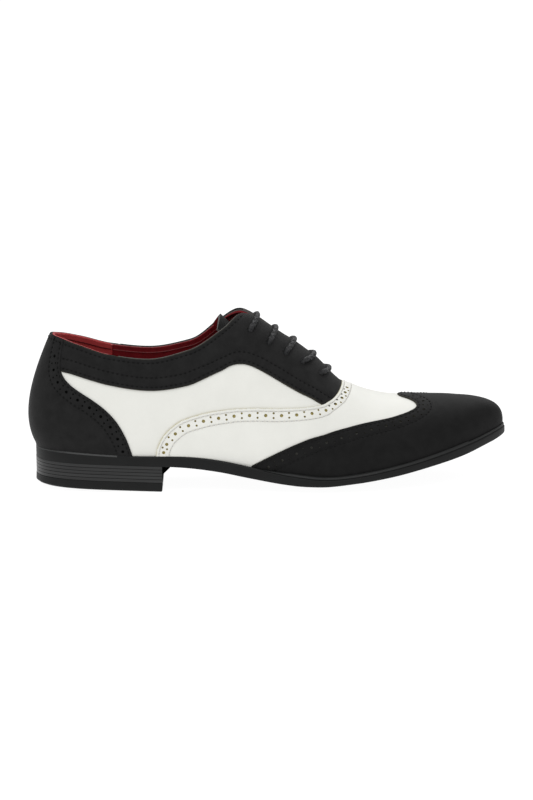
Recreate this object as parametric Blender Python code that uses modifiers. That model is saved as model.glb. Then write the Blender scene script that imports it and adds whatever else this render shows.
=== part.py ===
"""Lace-up shoe for the right foot: a two-tone wing-tip oxford that stands empty on its sole.

Tables are in millimetres or in percent of the four sizes below; the scene is in metres.
+X points to the toe, -Y to the outer (lateral) side, +Y to the inner (medial) side, +Z up.
"""

import math

import bmesh
import bpy
import numpy as np
from mathutils import Vector
from mathutils.geometry import delaunay_2d_cdt

MM = 0.001
LATERAL = -1
MEDIAL = 1

# The four sizes that drive the last, in mm.
LENGTH = 300.0
BALL_WIDTH = 95.0
INSTEP_HEIGHT = 110.0
HEEL_SEAT = 23.0

# Middle of the finished shoe in plan, counted from the back of the heel, in mm.
MIDDLE_X = 152.57
MIDDLE_Y = -1.06

# Clear space between neighbours, leather thicknesses and lifts from the last's skin, in mm.
GAP = 0.3
LEATHER_GAP = 0.5
SEAM = 0.4
PANEL = 1.1
WALL = 1.6
WING_STEP = 1.0
WALL_OUT = -(PANEL + LEATHER_GAP)
WALL_IN = WALL_OUT - WALL

# Sole sizes in mm.
UPPER_TO_SOLE = 0.4
BREAST_X = 85.8
TOP_LIFT = 5.6
LIFT_CORNER = 1.2
STACK_TOP = 16.0
# Rise of the heel's levels per mm towards its back: the shoe rests on the heel's front edge and the ball.
HEEL_PITCH = 0.0428
STACK_LAYERS = 4
STACK_GROOVE = 0.35
GROOVE_HALF = 0.25
HEEL_INSET = 0.3
HEEL_BACK = 0.4
FILLET_REACH = 4.6
FILLET_FOOT = 9.8
FILLET_HEAD = 14.6
FILLET_HALF_WIDTH = 25.0
FILLET_CORNER = 1.5
INSOLE = 3.0
INSOLE_SPARE = 1.0
WELT_START_X = 150.0
WELT_NEAR = WING_STEP + 0.55
WELT_SETBACK = 0.4
WELT_RISE = 1.7
WELT_LIP = 0.8

# Where the slit between the two facings ends under the vamp, in mm from the back of the heel.
SLIT_END_X = 213.9

LACE_RADIUS = 1.35
LACE_HOLE_RADIUS = 2.2
LACE_CLEAR = LACE_RADIUS + 0.28
# Lift of a lace bar's middle from the skin by share of its way from the hole to the ridge, in mm.
LACE_LIFTS = ((0.0, -0.6), (0.05, 1.0), (0.16, LACE_CLEAR), (0.55, LACE_CLEAR), (1.0, LACE_CLEAR))

# One row per station along the last. Percent of: length for x, ball width for the plan, heel seat
# for feather_z, instep height for top_z, rise and drop. The profile leaves the feather line with
# flare and rise and reaches the top edge from crown and drop.
STATION_COLUMNS = (
    "name", "feather_x", "lateral", "medial", "feather_z",
    "top_x", "top_y", "half_gap", "top_z", "flare", "rise", "crown", "drop",
)
STATIONS = (
    ("heel back", 1.5, 0.0, 0.0, 119.6, 5.1, 0.0, 0.0, 89.7, 10.8, 17.0, 13.0, 25.0),
    ("heel round", 3.7, 19.5, 19.5, 118.3, 6.6, 0.0, 12.1, 88.7, 9.8, 17.3, 11.2, 24.5),
    ("heel side", 9.0, 29.5, 29.0, 114.4, 11.1, 0.0, 23.2, 85.3, 7.7, 17.8, 9.7, 23.6),
    ("heel middle", 16.7, 33.5, 31.8, 107.0, 18.0, 0.0, 28.4, 79.6, 5.8, 19.0, 6.3, 20.0),
    ("low collar", 25.0, 35.0, 31.0, 101.5, 26.3, 0.0, 30.0, 76.9, 4.7, 20.0, 5.3, 18.2),
    ("waist", 33.3, 36.0, 29.3, 99.4, 34.7, 0.0, 27.4, 81.4, 4.7, 21.8, 7.4, 18.2),
    ("arch", 40.3, 38.1, 29.7, 90.0, 42.0, 0.0, 18.4, 92.5, 4.7, 25.5, 14.7, 14.5),
    ("facing top", 47.0, 41.5, 33.2, 73.4, 46.3, 0.0, 4.4, 99.6, 4.7, 27.3, 25.3, 5.5),
    ("facing", 55.0, 46.7, 40.5, 51.5, 55.7, 0.5, 2.4, 84.3, 4.2, 27.3, 28.4, 1.8),
    ("facing low", 58.7, 48.9, 43.7, 44.8, 61.3, 1.0, 1.7, 73.0, 4.0, 25.9, 28.4, 1.1),
    ("throat", 62.3, 50.3, 46.3, 40.4, 66.8, 1.6, 0.8, 58.3, 3.7, 23.6, 27.4, 0.5),
    ("ball", 69.0, 50.7, 48.6, 45.2, 71.3, 2.1, 0.0, 53.0, 3.2, 20.0, 27.4, 0.0),
    ("vamp", 76.7, 47.0, 47.0, 60.9, 77.3, 3.2, 0.0, 48.8, 2.6, 17.3, 27.4, 0.0),
    ("forefoot", 84.7, 37.9, 41.3, 82.6, 83.3, 4.2, 0.0, 47.7, 2.3, 15.5, 26.3, 0.5),
    ("toe side", 91.8, 25.3, 32.2, 106.0, 88.0, 5.8, 0.0, 47.2, 2.1, 14.1, 24.6, 1.4),
    ("toe corner", 97.7, 9.1, 21.5, 127.0, 90.2, 6.8, 0.0, 46.6, 1.8, 13.2, 24.8, 2.2),
    ("toe tip", 100.95, -7.9, 7.9, 140.4, 90.7, 7.4, 0.0, 46.5, 1.6, 12.7, 24.9, 2.4),
)

# How the medial top edge differs from the lateral one at the stations from the heel, in mm.
MEDIAL_TOP_COLUMNS = ("forward", "higher")
MEDIAL_TOP = (
    (0.0, 0.0), (0.0, -0.6), (0.0, -1.0), (0.0, -0.9), (0.0, -0.8), (0.0, -1.2), (-2.5, 1.0),
    (-2.0, 2.0), (0.0, 0.0),
)

# The sole at the same stations, in mm: overhang past the feather line, height of the lower edge,
# how far the middle hangs below that edge, how far the top dips, and the rounding of the edge.
SOLE_VALUES = ("overhang", "bottom", "belly", "dish", "edge")
SOLE = (
    (0.1, 19.8, 0.0, 0.0, 0.2),
    (0.5, 19.55, 0.0, 0.0, 0.2),
    (1.0, 18.9, 0.0, 0.5, 0.2),
    (1.0, 17.9, 0.0, 1.0, 0.2),
    (1.0, 16.85, 0.0, 1.0, 0.3),
    (1.2, 15.3, 0.0, 1.0, 0.6),
    (1.8, 12.7, 1.0, 1.5, 0.9),
    (2.8, 9.0, 2.2, 2.0, 1.1),
    (3.6, 5.2, 4.4, 2.5, 1.2),
    (3.8, 4.2, 4.9, 2.6, 1.2),
    (4.0, 4.0, 5.2, 2.6, 1.2),
    (4.0, 5.7, 4.6, 2.5, 1.2),
    (3.8, 8.8, 2.8, 2.2, 1.2),
    (3.5, 13.3, 1.5, 1.8, 1.2),
    (3.3, 17.9, 0.6, 1.0, 1.2),
    (2.7, 23.1, 0.2, 0.3, 1.2),
    (2.3, 26.5, 0.0, 0.0, 1.2),
)

# Edges of the leather pieces as (x in mm, share of the way up the profile).
COUNTER_EDGE = (
    (66.8, 0.00), (63.3, 0.163), (59.4, 0.288), (55.2, 0.383), (49.3, 0.476), (42.7, 0.548),
    (36.0, 0.601), (30.6, 0.642), (26.6, 0.680), (24.0, 0.714), (22.3, 0.754), (21.8, 0.80),
    (22.2, 0.86), (23.2, 0.935), (24.2, 1.00),
)
VAMP_EDGE = (
    (81.7, 0.00), (83.4, 0.10), (87.1, 0.20), (91.8, 0.270), (97.2, 0.322), (103.4, 0.347),
    (110.9, 0.354), (119.0, 0.348), (128.8, 0.339), (138.4, 0.336), (147.2, 0.351),
    (158.2, 0.383), (170.3, 0.430), (180.4, 0.489), (188.2, 0.567), (191.4, 0.615),
    (194.7, 0.671), (197.8, 0.745), (199.9, 0.830), (200.9, 0.915), (201.2, 1.00),
)
WING_EDGE = (
    (141.8, 0.00), (151.8, 0.078), (164.0, 0.164), (176.0, 0.247), (192.2, 0.370),
    (206.0, 0.447), (216.5, 0.497), (224.2, 0.529), (231.8, 0.561), (239.7, 0.605),
    (243.6, 0.636), (246.6, 0.670), (247.9, 0.708), (247.8, 0.752), (246.3, 0.80),
    (242.8, 0.86), (239.6, 0.90), (237.4, 0.94), (236.4, 1.00),
)
COLLAR_EDGE = (
    (22.4, 0.755), (28.6, 0.756), (36.0, 0.744), (44.9, 0.729), (62.5, 0.691), (80.0, 0.670),
    (99.2, 0.653), (110.7, 0.649), (120.5, 0.630), (128.6, 0.607), (133.6, 0.587),
    (138.4, 0.576), (151.4, 0.568), (159.6, 0.560), (168.0, 0.549), (176.0, 0.548),
    (184.2, 0.560), (188.6, 0.569),
)
# Lace holes, top pair first: x and way up of the hole, and x where its bar crosses the ridge.
LACE_COLUMNS = ("x", "up", "ridge_x")
LACES = (
    (143.2, 0.815, 147.4), (154.9, 0.794, 159.0), (165.4, 0.788, 170.6), (176.2, 0.798, 183.0),
    (187.6, 0.822, 192.3),
)

# Tongue rows from its free top end to the end sewn under the throat, in mm. Its side edges sweep
# back, and more so on the medial side.
MEDIAL_SWEEP = 2.4
TONGUE_COLUMNS = ("x", "z", "half_width", "drop", "sweep")
TONGUE = (
    (124.4, 108.4, 13.5, 7.5, 2.0),
    (132.6, 100.6, 15.5, 8.0, 1.0),
    (145.0, 92.5, 18.0, 8.0, 0.0),
    (165.0, 79.5, 19.0, 7.0, 0.0),
    (185.0, 65.0, 17.0, 5.5, 0.0),
    (198.0, 57.2, 15.0, 6.0, 0.0),
    (208.0, 53.9, 13.0, 5.5, 0.0),
)
TONGUE_THICKNESS = 2.0

BLACK_LEATHER = (0.022, 0.022, 0.024)
WHITE_LEATHER = (0.80, 0.80, 0.77)
BLACK_RUBBER = (0.018, 0.018, 0.018)
RED_LEATHER = (0.22, 0.035, 0.035)
LACE_GREY = (0.045, 0.045, 0.050)


class LoopSpline:
    """A smooth closed curve of one value, through one value per knot round the last."""

    def __init__(self, knots, period, values, flat=False):
        self.knots = knots
        self.period = period
        self.values = values
        gaps = np.diff(np.append(knots, period))
        slopes = (np.roll(values, -1) - values) / gaps
        self.tangents = self.flat_tangents(slopes) if flat else self.smooth_tangents(gaps, slopes)

    @staticmethod
    def smooth_tangents(gaps, slopes):
        count = len(gaps)
        matrix = np.zeros((count, count))
        right = np.zeros(count)
        for knot in range(count):
            before, after = gaps[knot - 1], gaps[knot]
            matrix[knot, knot - 1] += after
            matrix[knot, knot] += 2.0 * (before + after)
            matrix[knot, (knot + 1) % count] += before
            right[knot] = 3.0 * (after * slopes[knot - 1] + before * slopes[knot])
        return np.linalg.solve(matrix, right)

    @staticmethod
    def flat_tangents(slopes):
        """Tangents that never overshoot, so equal values stay equal between knots."""
        before = np.roll(slopes, 1)
        same_way = before * slopes > 0.0
        total = np.where(same_way, before + slopes, 1.0)
        return np.where(same_way, 2.0 * before * slopes / total, 0.0)

    def __call__(self, at):
        at = np.mod(at, self.period)
        left = np.clip(np.searchsorted(self.knots, at, side="right") - 1, 0, len(self.knots) - 1)
        right = (left + 1) % len(self.knots)
        ends = np.append(self.knots, self.period)
        width = ends[left + 1] - ends[left]
        t = (at - ends[left]) / width
        start = (1.0 + 2.0 * t) * (1.0 - t) ** 2 * self.values[left]
        end = t * t * (3.0 - 2.0 * t) * self.values[right]
        bends = t * (1.0 - t) ** 2 * self.tangents[left] - t * t * (1.0 - t) * self.tangents[right]
        return start + end + width * bends


class Last:
    """The form inside the shoe: points by side, way along (mm, heel to toe) and way up (0 to 1)."""

    def __init__(self):
        table = {name: index for index, name in enumerate(STATION_COLUMNS)}
        sizes = {"feather_z": HEEL_SEAT, "feather_x": LENGTH, "top_x": LENGTH}
        sizes.update({name: INSTEP_HEIGHT for name in ("top_z", "rise", "drop")})
        column = {
            name: np.array([row[table[name]] for row in STATIONS]) * sizes.get(name, BALL_WIDTH) / 100
            for name in STATION_COLUMNS[1:]
        }
        sole = {name: np.array([row[i] for row in SOLE]) for i, name in enumerate(SOLE_VALUES)}
        steps = [
            np.hypot(np.diff(column["feather_x"]), np.diff(column[side]))
            for side in ("lateral", "medial")
        ]
        half_steps = (steps[0] + steps[1]) / 2.0
        self.half = float(half_steps.sum())
        way = np.concatenate([[0.0], np.cumsum(half_steps)])
        knots = self.round_loop(way, 2.0 * self.half - way)
        period = 2.0 * self.half

        def spline(lateral, medial, flat=False):
            return LoopSpline(knots, period, self.round_loop(lateral, medial), flat)

        self.feather_y = spline(-column["lateral"], column["medial"])
        self.half_gap = spline(-column["half_gap"], column["half_gap"], flat=True)
        level = np.zeros(len(STATIONS))
        differ = np.zeros((len(STATIONS), 2))
        differ[:len(MEDIAL_TOP)] = MEDIAL_TOP
        self.medial_forward = spline(level, differ[:, 0], flat=True)
        self.medial_higher = spline(level, differ[:, 1], flat=True)
        self.same = {
            name: spline(column[name], column[name])
            for name in ("feather_x", "feather_z", "top_x", "top_y", "flare", "rise", "crown", "drop")
        }
        self.same["top_z"] = spline(column["top_z"], column["top_z"], flat=True)
        self.sole = {name: spline(sole[name], sole[name], flat=True) for name in SOLE_VALUES}

    @staticmethod
    def round_loop(lateral, medial):
        """Lateral values from heel to toe, then medial values from toe to heel."""
        return np.concatenate([lateral, medial[-2:0:-1]])

    def loop_at(self, side, along):
        along = np.asarray(along, dtype=float)
        return along if side == LATERAL else 2.0 * self.half - along

    def feather(self, side, along):
        at = self.loop_at(side, along)
        return np.stack([self.same["feather_x"](at), self.feather_y(at), self.same["feather_z"](at)], -1)

    def outward(self, side, along):
        """Level direction that points out of the plan outline."""
        at = self.loop_at(side, along)
        run_x = self.same["feather_x"](at + 0.05) - self.same["feather_x"](at - 0.05)
        run_y = self.feather_y(at + 0.05) - self.feather_y(at - 0.05)
        length = np.hypot(run_x, run_y)
        return np.stack([run_y / length, -run_x / length, np.zeros_like(length)], -1)

    def point(self, side, along, up):
        at = self.loop_at(side, along)
        level = self.outward(side, along)
        value = {name: spline(at) for name, spline in self.same.items()}
        start = self.feather(side, along)
        end = np.stack([
            value["top_x"] + self.medial_forward(at),
            value["top_y"] + self.half_gap(at),
            value["top_z"] + self.medial_higher(at),
        ], -1)
        upward = np.array([0.0, 0.0, 1.0])
        low = start + level * value["flare"][..., None] + upward * value["rise"][..., None]
        high = end + level * value["crown"][..., None] - upward * value["drop"][..., None]
        t = np.asarray(up, dtype=float)[..., None]
        return (
            (1 - t) ** 3 * start + 3 * (1 - t) ** 2 * t * low + 3 * (1 - t) * t * t * high + t ** 3 * end
        )

    def slopes(self, side, along, up):
        """Change of the point per mm along and per unit up."""
        along = np.asarray(along, dtype=float)
        up = np.asarray(up, dtype=float)
        above, below = np.minimum(up + 0.002, 1.0), np.maximum(up - 0.002, 0.0)
        run = (self.point(side, along + 0.2, up) - self.point(side, along - 0.2, up)) / 0.4
        climb = (self.point(side, along, above) - self.point(side, along, below)) / (above - below)[..., None]
        return run, climb

    def normal(self, side, along, up):
        """Outward normal; the way up stops short of the ridge, where the toe's columns run together."""
        run, climb = self.slopes(side, along, np.minimum(up, 0.96))
        across = np.cross(run, climb) * -side
        return across / np.linalg.norm(across, axis=-1, keepdims=True)

    def along_at(self, side, x, up):
        """Way along at which the last's skin reaches x at the given way up."""
        x, up = np.broadcast_arrays(np.asarray(x, dtype=float), np.asarray(up, dtype=float))
        low, high = np.zeros_like(x), np.full_like(x, self.half)
        for _ in range(36):
            middle = (low + high) / 2.0
            short = self.point(side, middle, up)[..., 0] < x
            low, high = np.where(short, middle, low), np.where(short, high, middle)
        return (low + high) / 2.0


LAST = Last()
FLAT_HEIGHT = 60.0
COLUMNS = np.concatenate([
    np.linspace(0.0, 42.0, 8), np.linspace(51.0, 180.0, 13), np.linspace(185.5, 240.0, 11),
    np.linspace(248.0, LAST.half - 49.0, 4), np.linspace(LAST.half - 42.0, LAST.half, 8),
])
SOLE_COLUMNS = np.concatenate([
    np.linspace(0.0, 42.0, 8), np.linspace(51.0, LAST.half - 50.0, 20),
    np.linspace(LAST.half - 42.0, LAST.half, 9),
])
ROWS = np.linspace(0.0, 1.0, 10)
SLIT_END = float(LAST.along_at(LATERAL, SLIT_END_X, 1.0))


def smooth_path(points, spacing):
    """Points at an even spacing on a smooth curve through the given points."""
    points = np.array(points, dtype=float)
    padded = np.vstack([2 * points[0] - points[1], points, 2 * points[-1] - points[-2]])
    share = np.linspace(0.0, 1.0, 24, endpoint=False)[:, None]
    fine = []
    for before, start, end, after in zip(padded, padded[1:], padded[2:], padded[3:]):
        bend = 2 * before - 5 * start + 4 * end - after
        turn = -before + 3 * start - 3 * end + after
        fine.append(start + 0.5 * share * ((end - before) + share * (bend + share * turn)))
    fine = np.vstack(fine + [points[-1:]])
    way = np.concatenate([[0.0], np.cumsum(np.linalg.norm(np.diff(fine, axis=0), axis=1))])
    even = np.linspace(0.0, way[-1], max(2, int(round(way[-1] / spacing)) + 1))
    return np.stack([np.interp(even, way, fine[:, axis]) for axis in range(2)], -1)


def leather_edge(side, table, shift, above=0.0, spacing=5.0):
    """A piece's edge above a way up, as (along, flat height), moved to its left by shift mm."""
    flat = np.array(table) * [1.0, FLAT_HEIGHT]
    path = smooth_path(flat, spacing)
    run = np.gradient(path, axis=0)
    run /= np.linalg.norm(run, axis=1, keepdims=True)
    path = path + shift * np.stack([-run[:, 1], run[:, 0]], -1)
    up = np.clip(path[:, 1] / FLAT_HEIGHT, 0.0, 1.0)
    up[0] = table[0][1]
    up[-1] = table[-1][1]
    edge = np.stack([LAST.along_at(side, path[:, 0], up), up * FLAT_HEIGHT], -1)
    return edge[up >= above]


def level_run(start, end, up):
    """Points along one level of the last, on its columns, without the two ends."""
    low, high = min(start, end), max(start, end)
    spare = 8.0 if up == 1.0 and high == LAST.half else 2.0
    inside = COLUMNS[(COLUMNS > low + 2.0) & (COLUMNS < high - spare)]
    inside = inside if start < end else inside[::-1]
    return np.stack([inside, np.full(len(inside), up * FLAT_HEIGHT)], -1)


def upright_run(along):
    """Points up the last at one way along, on its rows, without the two ends."""
    return np.stack([np.full(len(ROWS) - 2, along), ROWS[1:-1] * FLAT_HEIGHT], -1)


def lace_hole(side, x, up, radius, corners=8):
    """A round hole square to the skin, as (along, flat height)."""
    along = LAST.along_at(side, x, up)
    run, climb = LAST.slopes(side, along, np.asarray(up))
    first = run / np.linalg.norm(run)
    second = climb - climb.dot(first) * first
    second /= np.linalg.norm(second)
    skin = np.stack([run, climb / FLAT_HEIGHT], -1)
    ring = []
    for corner in range(corners):
        turn = 2.0 * math.pi * corner / corners
        reach = radius * (math.cos(turn) * first + math.sin(turn) * second)
        ring.append(np.linalg.lstsq(skin, reach, rcond=None)[0])
    return np.array([float(along), up * FLAT_HEIGHT]) + np.array(ring)


def inside_loop(points, loop):
    """Which points lie inside a closed loop."""
    ahead = np.roll(loop, -1, axis=0)
    x, y = points[:, :1], points[:, 1:]
    crosses = (loop[:, 1] > y) != (ahead[:, 1] > y)
    rise = np.where(ahead[:, 1] == loop[:, 1], 1.0, ahead[:, 1] - loop[:, 1])
    reach = (ahead[:, 0] - loop[:, 0]) * (y - loop[:, 1]) / rise + loop[:, 0]
    return (np.sum(crosses & (x < reach), axis=1) % 2).astype(bool)


def distance_to_loops(points, loops):
    """Shortest distance from each point to the loops' edges."""
    best = np.full(len(points), np.inf)
    for loop in loops:
        for start, end in zip(loop, np.roll(loop, -1, axis=0)):
            run = end - start
            share = np.clip((points - start) @ run / max(run @ run, 1e-9), 0.0, 1.0)
            best = np.minimum(best, np.linalg.norm(points - start - share[:, None] * run, axis=1))
    return best


def cut_piece(side, outline, holes=(), bridged=False):
    """Triangles of a piece of leather on one side of the last, facing out.

    A bridged piece runs on over the ridge, so its top edge lies in the middle of the slit.
    """
    loops = [outline, *holes]
    grid = np.array([(a, r * FLAT_HEIGHT) for a in COLUMNS for r in ROWS])
    keep = inside_loop(grid, outline) & (distance_to_loops(grid, loops) > 1.8)
    for hole in holes:
        keep &= ~inside_loop(grid, hole)
    points = np.vstack(loops + [grid[keep]])
    edges = []
    first = 0
    for loop in loops:
        count = len(loop)
        edges += [(first + i, first + (i + 1) % count) for i in range(count)]
        first += count
    result = delaunay_2d_cdt([Vector(p) for p in points], edges, [], 1, 1e-5)
    flat = points[[same[0] for same in result[3]]]
    triangles = np.array(result[2])
    centres = flat[triangles].mean(axis=1)
    used = inside_loop(centres, outline)
    for hole in holes:
        used &= ~inside_loop(centres, hole)
    triangles = triangles[used]
    if side == MEDIAL:
        triangles = triangles[:, ::-1]
    along, up = flat[:, 0], np.clip(flat[:, 1] / FLAT_HEIGHT, 0.0, 1.0)
    places = LAST.point(side, along, up)
    if bridged:
        ridge = up == 1.0
        places[ridge, 1] = LAST.same["top_y"](LAST.loop_at(side, along[ridge]))
    return places, LAST.normal(side, along, up), triangles


def join_pieces(pieces):
    """One skin from pieces that share their meeting edges: points, normals and triangles."""
    places, normals, triangles, known = [], [], [], {}
    for points, outs, faces in pieces:
        index = []
        for point, out in zip(points, outs):
            key = tuple(np.round(point, 2))
            if key not in known:
                known[key] = len(places)
                places.append(point)
                normals.append(np.zeros(3))
            normals[known[key]] = normals[known[key]] + out
            index.append(known[key])
        for face in faces:
            corners = [index[i] for i in face]
            if len(set(corners)) == 3:
                triangles.append(corners)
    used = sorted({corner for face in triangles for corner in face})
    place = {old: new for new, old in enumerate(used)}
    normals = np.array(normals)[used]
    normals /= np.linalg.norm(normals, axis=1, keepdims=True)
    return np.array(places)[used], normals, [[place[i] for i in face] for face in triangles]


def add_mesh(name, points, faces, colour, roughness):
    """One sub-part from points in mm and faces, with its own material."""
    mesh = bpy.data.meshes.new(name)
    moved = (np.asarray(points) - [MIDDLE_X, MIDDLE_Y, 0.0]) * MM
    mesh.from_pydata(moved.tolist(), [], [list(face) for face in faces])
    mesh.update()
    work = bmesh.new()
    work.from_mesh(mesh)
    bmesh.ops.recalc_face_normals(work, faces=work.faces)
    work.to_mesh(mesh)
    work.free()
    return add_object(name, mesh, colour, roughness)


def add_object(name, data, colour, roughness):
    material = bpy.data.materials.new(name)
    material.use_nodes = True
    shader = material.node_tree.nodes["Principled BSDF"]
    shader.inputs["Base Color"].default_value = (*colour, 1.0)
    shader.inputs["Roughness"].default_value = roughness
    data.materials.append(material)
    part = bpy.data.objects.new(name, data)
    PARTS.objects.link(part)
    return part


def leather(name, pieces, lift_in, lift_out, colour):
    """A closed sheet of leather between two lifts from the last's skin."""
    points, normals, triangles = join_pieces(pieces)
    count = len(points)
    faces = [tuple(t) for t in triangles]
    faces += [(a + count, c + count, b + count) for a, b, c in triangles]
    ways = {(t[i], t[(i + 1) % 3]) for t in triangles for i in range(3)}
    faces += [(b, a, a + count, b + count) for a, b in ways if (b, a) not in ways]
    sheet = np.vstack([points + normals * lift_out, points + normals * lift_in])
    return add_mesh(name, sheet, faces, colour, 0.6)


def make_upper():
    pieces = []
    for side in (LATERAL, MEDIAL):
        corner = [[0.0, 0.0]], [[LAST.half, 0.0]], [[LAST.half, FLAT_HEIGHT]], [[0.0, FLAT_HEIGHT]]
        outline = np.vstack([
            corner[0], level_run(0.0, LAST.half, 0.0),
            corner[1], upright_run(LAST.half),
            corner[2], level_run(LAST.half, SLIT_END, 1.0), [[SLIT_END, FLAT_HEIGHT]],
            level_run(SLIT_END, 0.0, 1.0),
            corner[3], upright_run(0.0)[::-1],
        ])
        holes = [lace_hole(side, x, up, LACE_HOLE_RADIUS) for x, up, _ in LACES]
        pieces.append(cut_piece(side, outline, holes))
    leather("upper", pieces, WALL_IN, WALL_OUT, WHITE_LEATHER)


def make_heel_counter():
    pieces = []
    for side in (LATERAL, MEDIAL):
        edge = leather_edge(side, COUNTER_EDGE, SEAM / 2.0)
        outline = np.vstack([
            [[0.0, 0.0]], level_run(0.0, edge[0, 0], 0.0),
            edge, level_run(edge[-1, 0], 0.0, 1.0),
            [[0.0, FLAT_HEIGHT]], upright_run(0.0)[::-1],
        ])
        pieces.append(cut_piece(side, outline))
    leather("heel_counter", pieces, -PANEL, 0.0, BLACK_LEATHER)


def make_facing(name, side):
    seam = leather_edge(side, COUNTER_EDGE, -SEAM / 2.0, above=0.78)
    front = leather_edge(side, VAMP_EDGE, SEAM / 2.0, above=0.61)
    lower = leather_edge(side, COLLAR_EDGE, 0.0)
    outline = np.vstack([
        lower, front, level_run(front[-1, 0], seam[-1, 0], 1.0), seam[::-1],
    ])
    holes = [lace_hole(side, x, up, LACE_HOLE_RADIUS) for x, up, _ in LACES]
    leather(name, [cut_piece(side, outline, holes)], -PANEL, 0.0, BLACK_LEATHER)


def make_vamp():
    pieces = []
    for side in (LATERAL, MEDIAL):
        back = leather_edge(side, VAMP_EDGE, -SEAM / 2.0)
        front = leather_edge(side, WING_EDGE, SEAM / 2.0)
        outline = np.vstack([
            level_run(back[0, 0], front[0, 0], 0.0), front,
            level_run(front[-1, 0], back[-1, 0], 1.0), back[::-1],
        ])
        pieces.append(cut_piece(side, outline, bridged=True))
    leather("vamp", pieces, -PANEL, 0.0, WHITE_LEATHER)


def make_wing_cap():
    pieces = []
    for side in (LATERAL, MEDIAL):
        edge = leather_edge(side, WING_EDGE, -SEAM / 2.0)
        outline = np.vstack([
            level_run(edge[0, 0], LAST.half, 0.0), [[LAST.half, 0.0]], upright_run(LAST.half),
            [[LAST.half, FLAT_HEIGHT]], level_run(LAST.half, edge[-1, 0], 1.0), edge[::-1],
        ])
        pieces.append(cut_piece(side, outline, bridged=True))
    leather("wing_cap", pieces, -PANEL, WING_STEP, BLACK_LEATHER)


def sole_value(name, along):
    return LAST.sole[name](np.asarray(along, dtype=float))


def outline_point(side, along, overhang):
    return LAST.feather(side, along) + LAST.outward(side, along) * np.asarray(overhang)[..., None]


def sole_top(along, across):
    """Height of the sole's upper face; across runs 0 at one edge to 1 at the other."""
    dip = sole_value("dish", along) * 4.0 * across * (1.0 - across)
    return LAST.feather(LATERAL, along)[..., 2] - UPPER_TO_SOLE - dip


def sole_bottom(along, across):
    hang = sole_value("belly", along) * 4.0 * across * (1.0 - across)
    return np.maximum(sole_value("bottom", along) - hang, 0.0)


def slab(name, levels, colour, roughness, lanes=6):
    """A plate across the last. Each level gives an overhang and a height; first is top, last bottom."""
    rows = SOLE_COLUMNS[1:-1]
    ends = (0.0, LAST.half)
    across = np.linspace(0.0, 1.0, lanes + 1)
    points, faces = [], []

    def add(point):
        points.append(point)
        return len(points) - 1

    def place(along, share, overhang, height):
        sides = [outline_point(side, along, overhang(along)) for side in (LATERAL, MEDIAL)]
        flat = sides[0] * (1.0 - share) + sides[1] * share
        return add((flat[0], flat[1], float(height(np.asarray(along), np.asarray(share)))))

    loops = []
    for level, (overhang, height) in enumerate(levels):
        heel, toe = (place(end, 0.0, overhang, height) for end in ends)
        face_level = level in (0, len(levels) - 1)
        shares = across if face_level else across[[0, -1]]
        grid = [[place(row, share, overhang, height) for share in shares] for row in rows]
        loops.append([heel] + [line[0] for line in grid] + [toe] + [line[-1] for line in grid[::-1]])
        if face_level:
            faces += [(heel, grid[0][i], grid[0][i + 1]) for i in range(lanes)]
            faces += [(toe, grid[-1][i + 1], grid[-1][i]) for i in range(lanes)]
            for line, ahead in zip(grid, grid[1:]):
                faces += [(line[i], ahead[i], ahead[i + 1], line[i + 1]) for i in range(lanes)]
    for loop, below in zip(loops, loops[1:]):
        for i, corner in enumerate(loop):
            j = (i + 1) % len(loop)
            faces.append((corner, loop[j], below[j], below[i]))
    return add_mesh(name, points, faces, colour, roughness)


def make_outsole():
    def edge_height(along, across):
        return sole_bottom(along, across) + sole_value("edge", along)

    slab("outsole", (
        (lambda along: sole_value("overhang", along), sole_top),
        (lambda along: sole_value("overhang", along), edge_height),
        (lambda along: sole_value("overhang", along) - sole_value("edge", along), sole_bottom),
    ), BLACK_RUBBER, 0.55)


def make_insole():
    inset = WALL_IN - INSOLE_SPARE

    def base(along, across):
        return sole_top(along, across) + GAP

    def top(along, across):
        return base(along, across) + INSOLE

    slab("insole", (
        (lambda along: np.full_like(along, inset, dtype=float), top),
        (lambda along: np.full_like(along, inset, dtype=float), base),
    ), RED_LEATHER, 0.7, lanes=4)


def heel_ring(inset, height, fillet, back_inset):
    """Closed ring of the heel at one height, with its straight breast and the fillet under the waist.

    The height counts from the heel's tilted underside. The back of the ring lies further in than its
    sides, or further out where back_inset is negative.
    """
    last_column = float(LAST.along_at(LATERAL, BREAST_X, 0.0))
    between = (SOLE_COLUMNS > 1.0) & (SOLE_COLUMNS < last_column - 3.0)
    sides = np.concatenate([SOLE_COLUMNS[between], [last_column]])
    ring = []

    def add_side(side, ways):
        back = np.clip(-LAST.outward(side, ways)[:, 0], 0.0, 1.0) ** 2
        flat = outline_point(side, ways, sole_value("overhang", ways) - inset - back_inset * back)
        x = np.minimum(flat[:, 0], BREAST_X - inset)
        ring.extend(zip(x, flat[:, 1], height + HEEL_PITCH * (BREAST_X - x)))

    add_side(LATERAL, np.append(sides[::-1], 0.0))
    add_side(MEDIAL, sides)
    wide = FILLET_HALF_WIDTH - FILLET_CORNER
    for y, reach in ((FILLET_HALF_WIDTH, 0.0), (wide, fillet), (0.0, fillet), (-wide, fillet),
                     (-FILLET_HALF_WIDTH, 0.0)):
        x = BREAST_X - inset + reach
        ring.append((x, y, height + HEEL_PITCH * (BREAST_X - x)))
    return ring


def ring_stack(name, rings, colour, roughness):
    """A solid from closed rings, one above the other, capped at both ends."""
    count = len(rings[0])
    points = [point for ring in rings for point in ring]
    faces = [tuple(range(count)), tuple(range(len(points) - count, len(points)))]
    for level in range(len(rings) - 1):
        low, high = level * count, (level + 1) * count
        for i in range(count):
            j = (i + 1) % count
            faces.append((low + i, low + j, high + j, high + i))
    return add_mesh(name, points, faces, colour, roughness)


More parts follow.
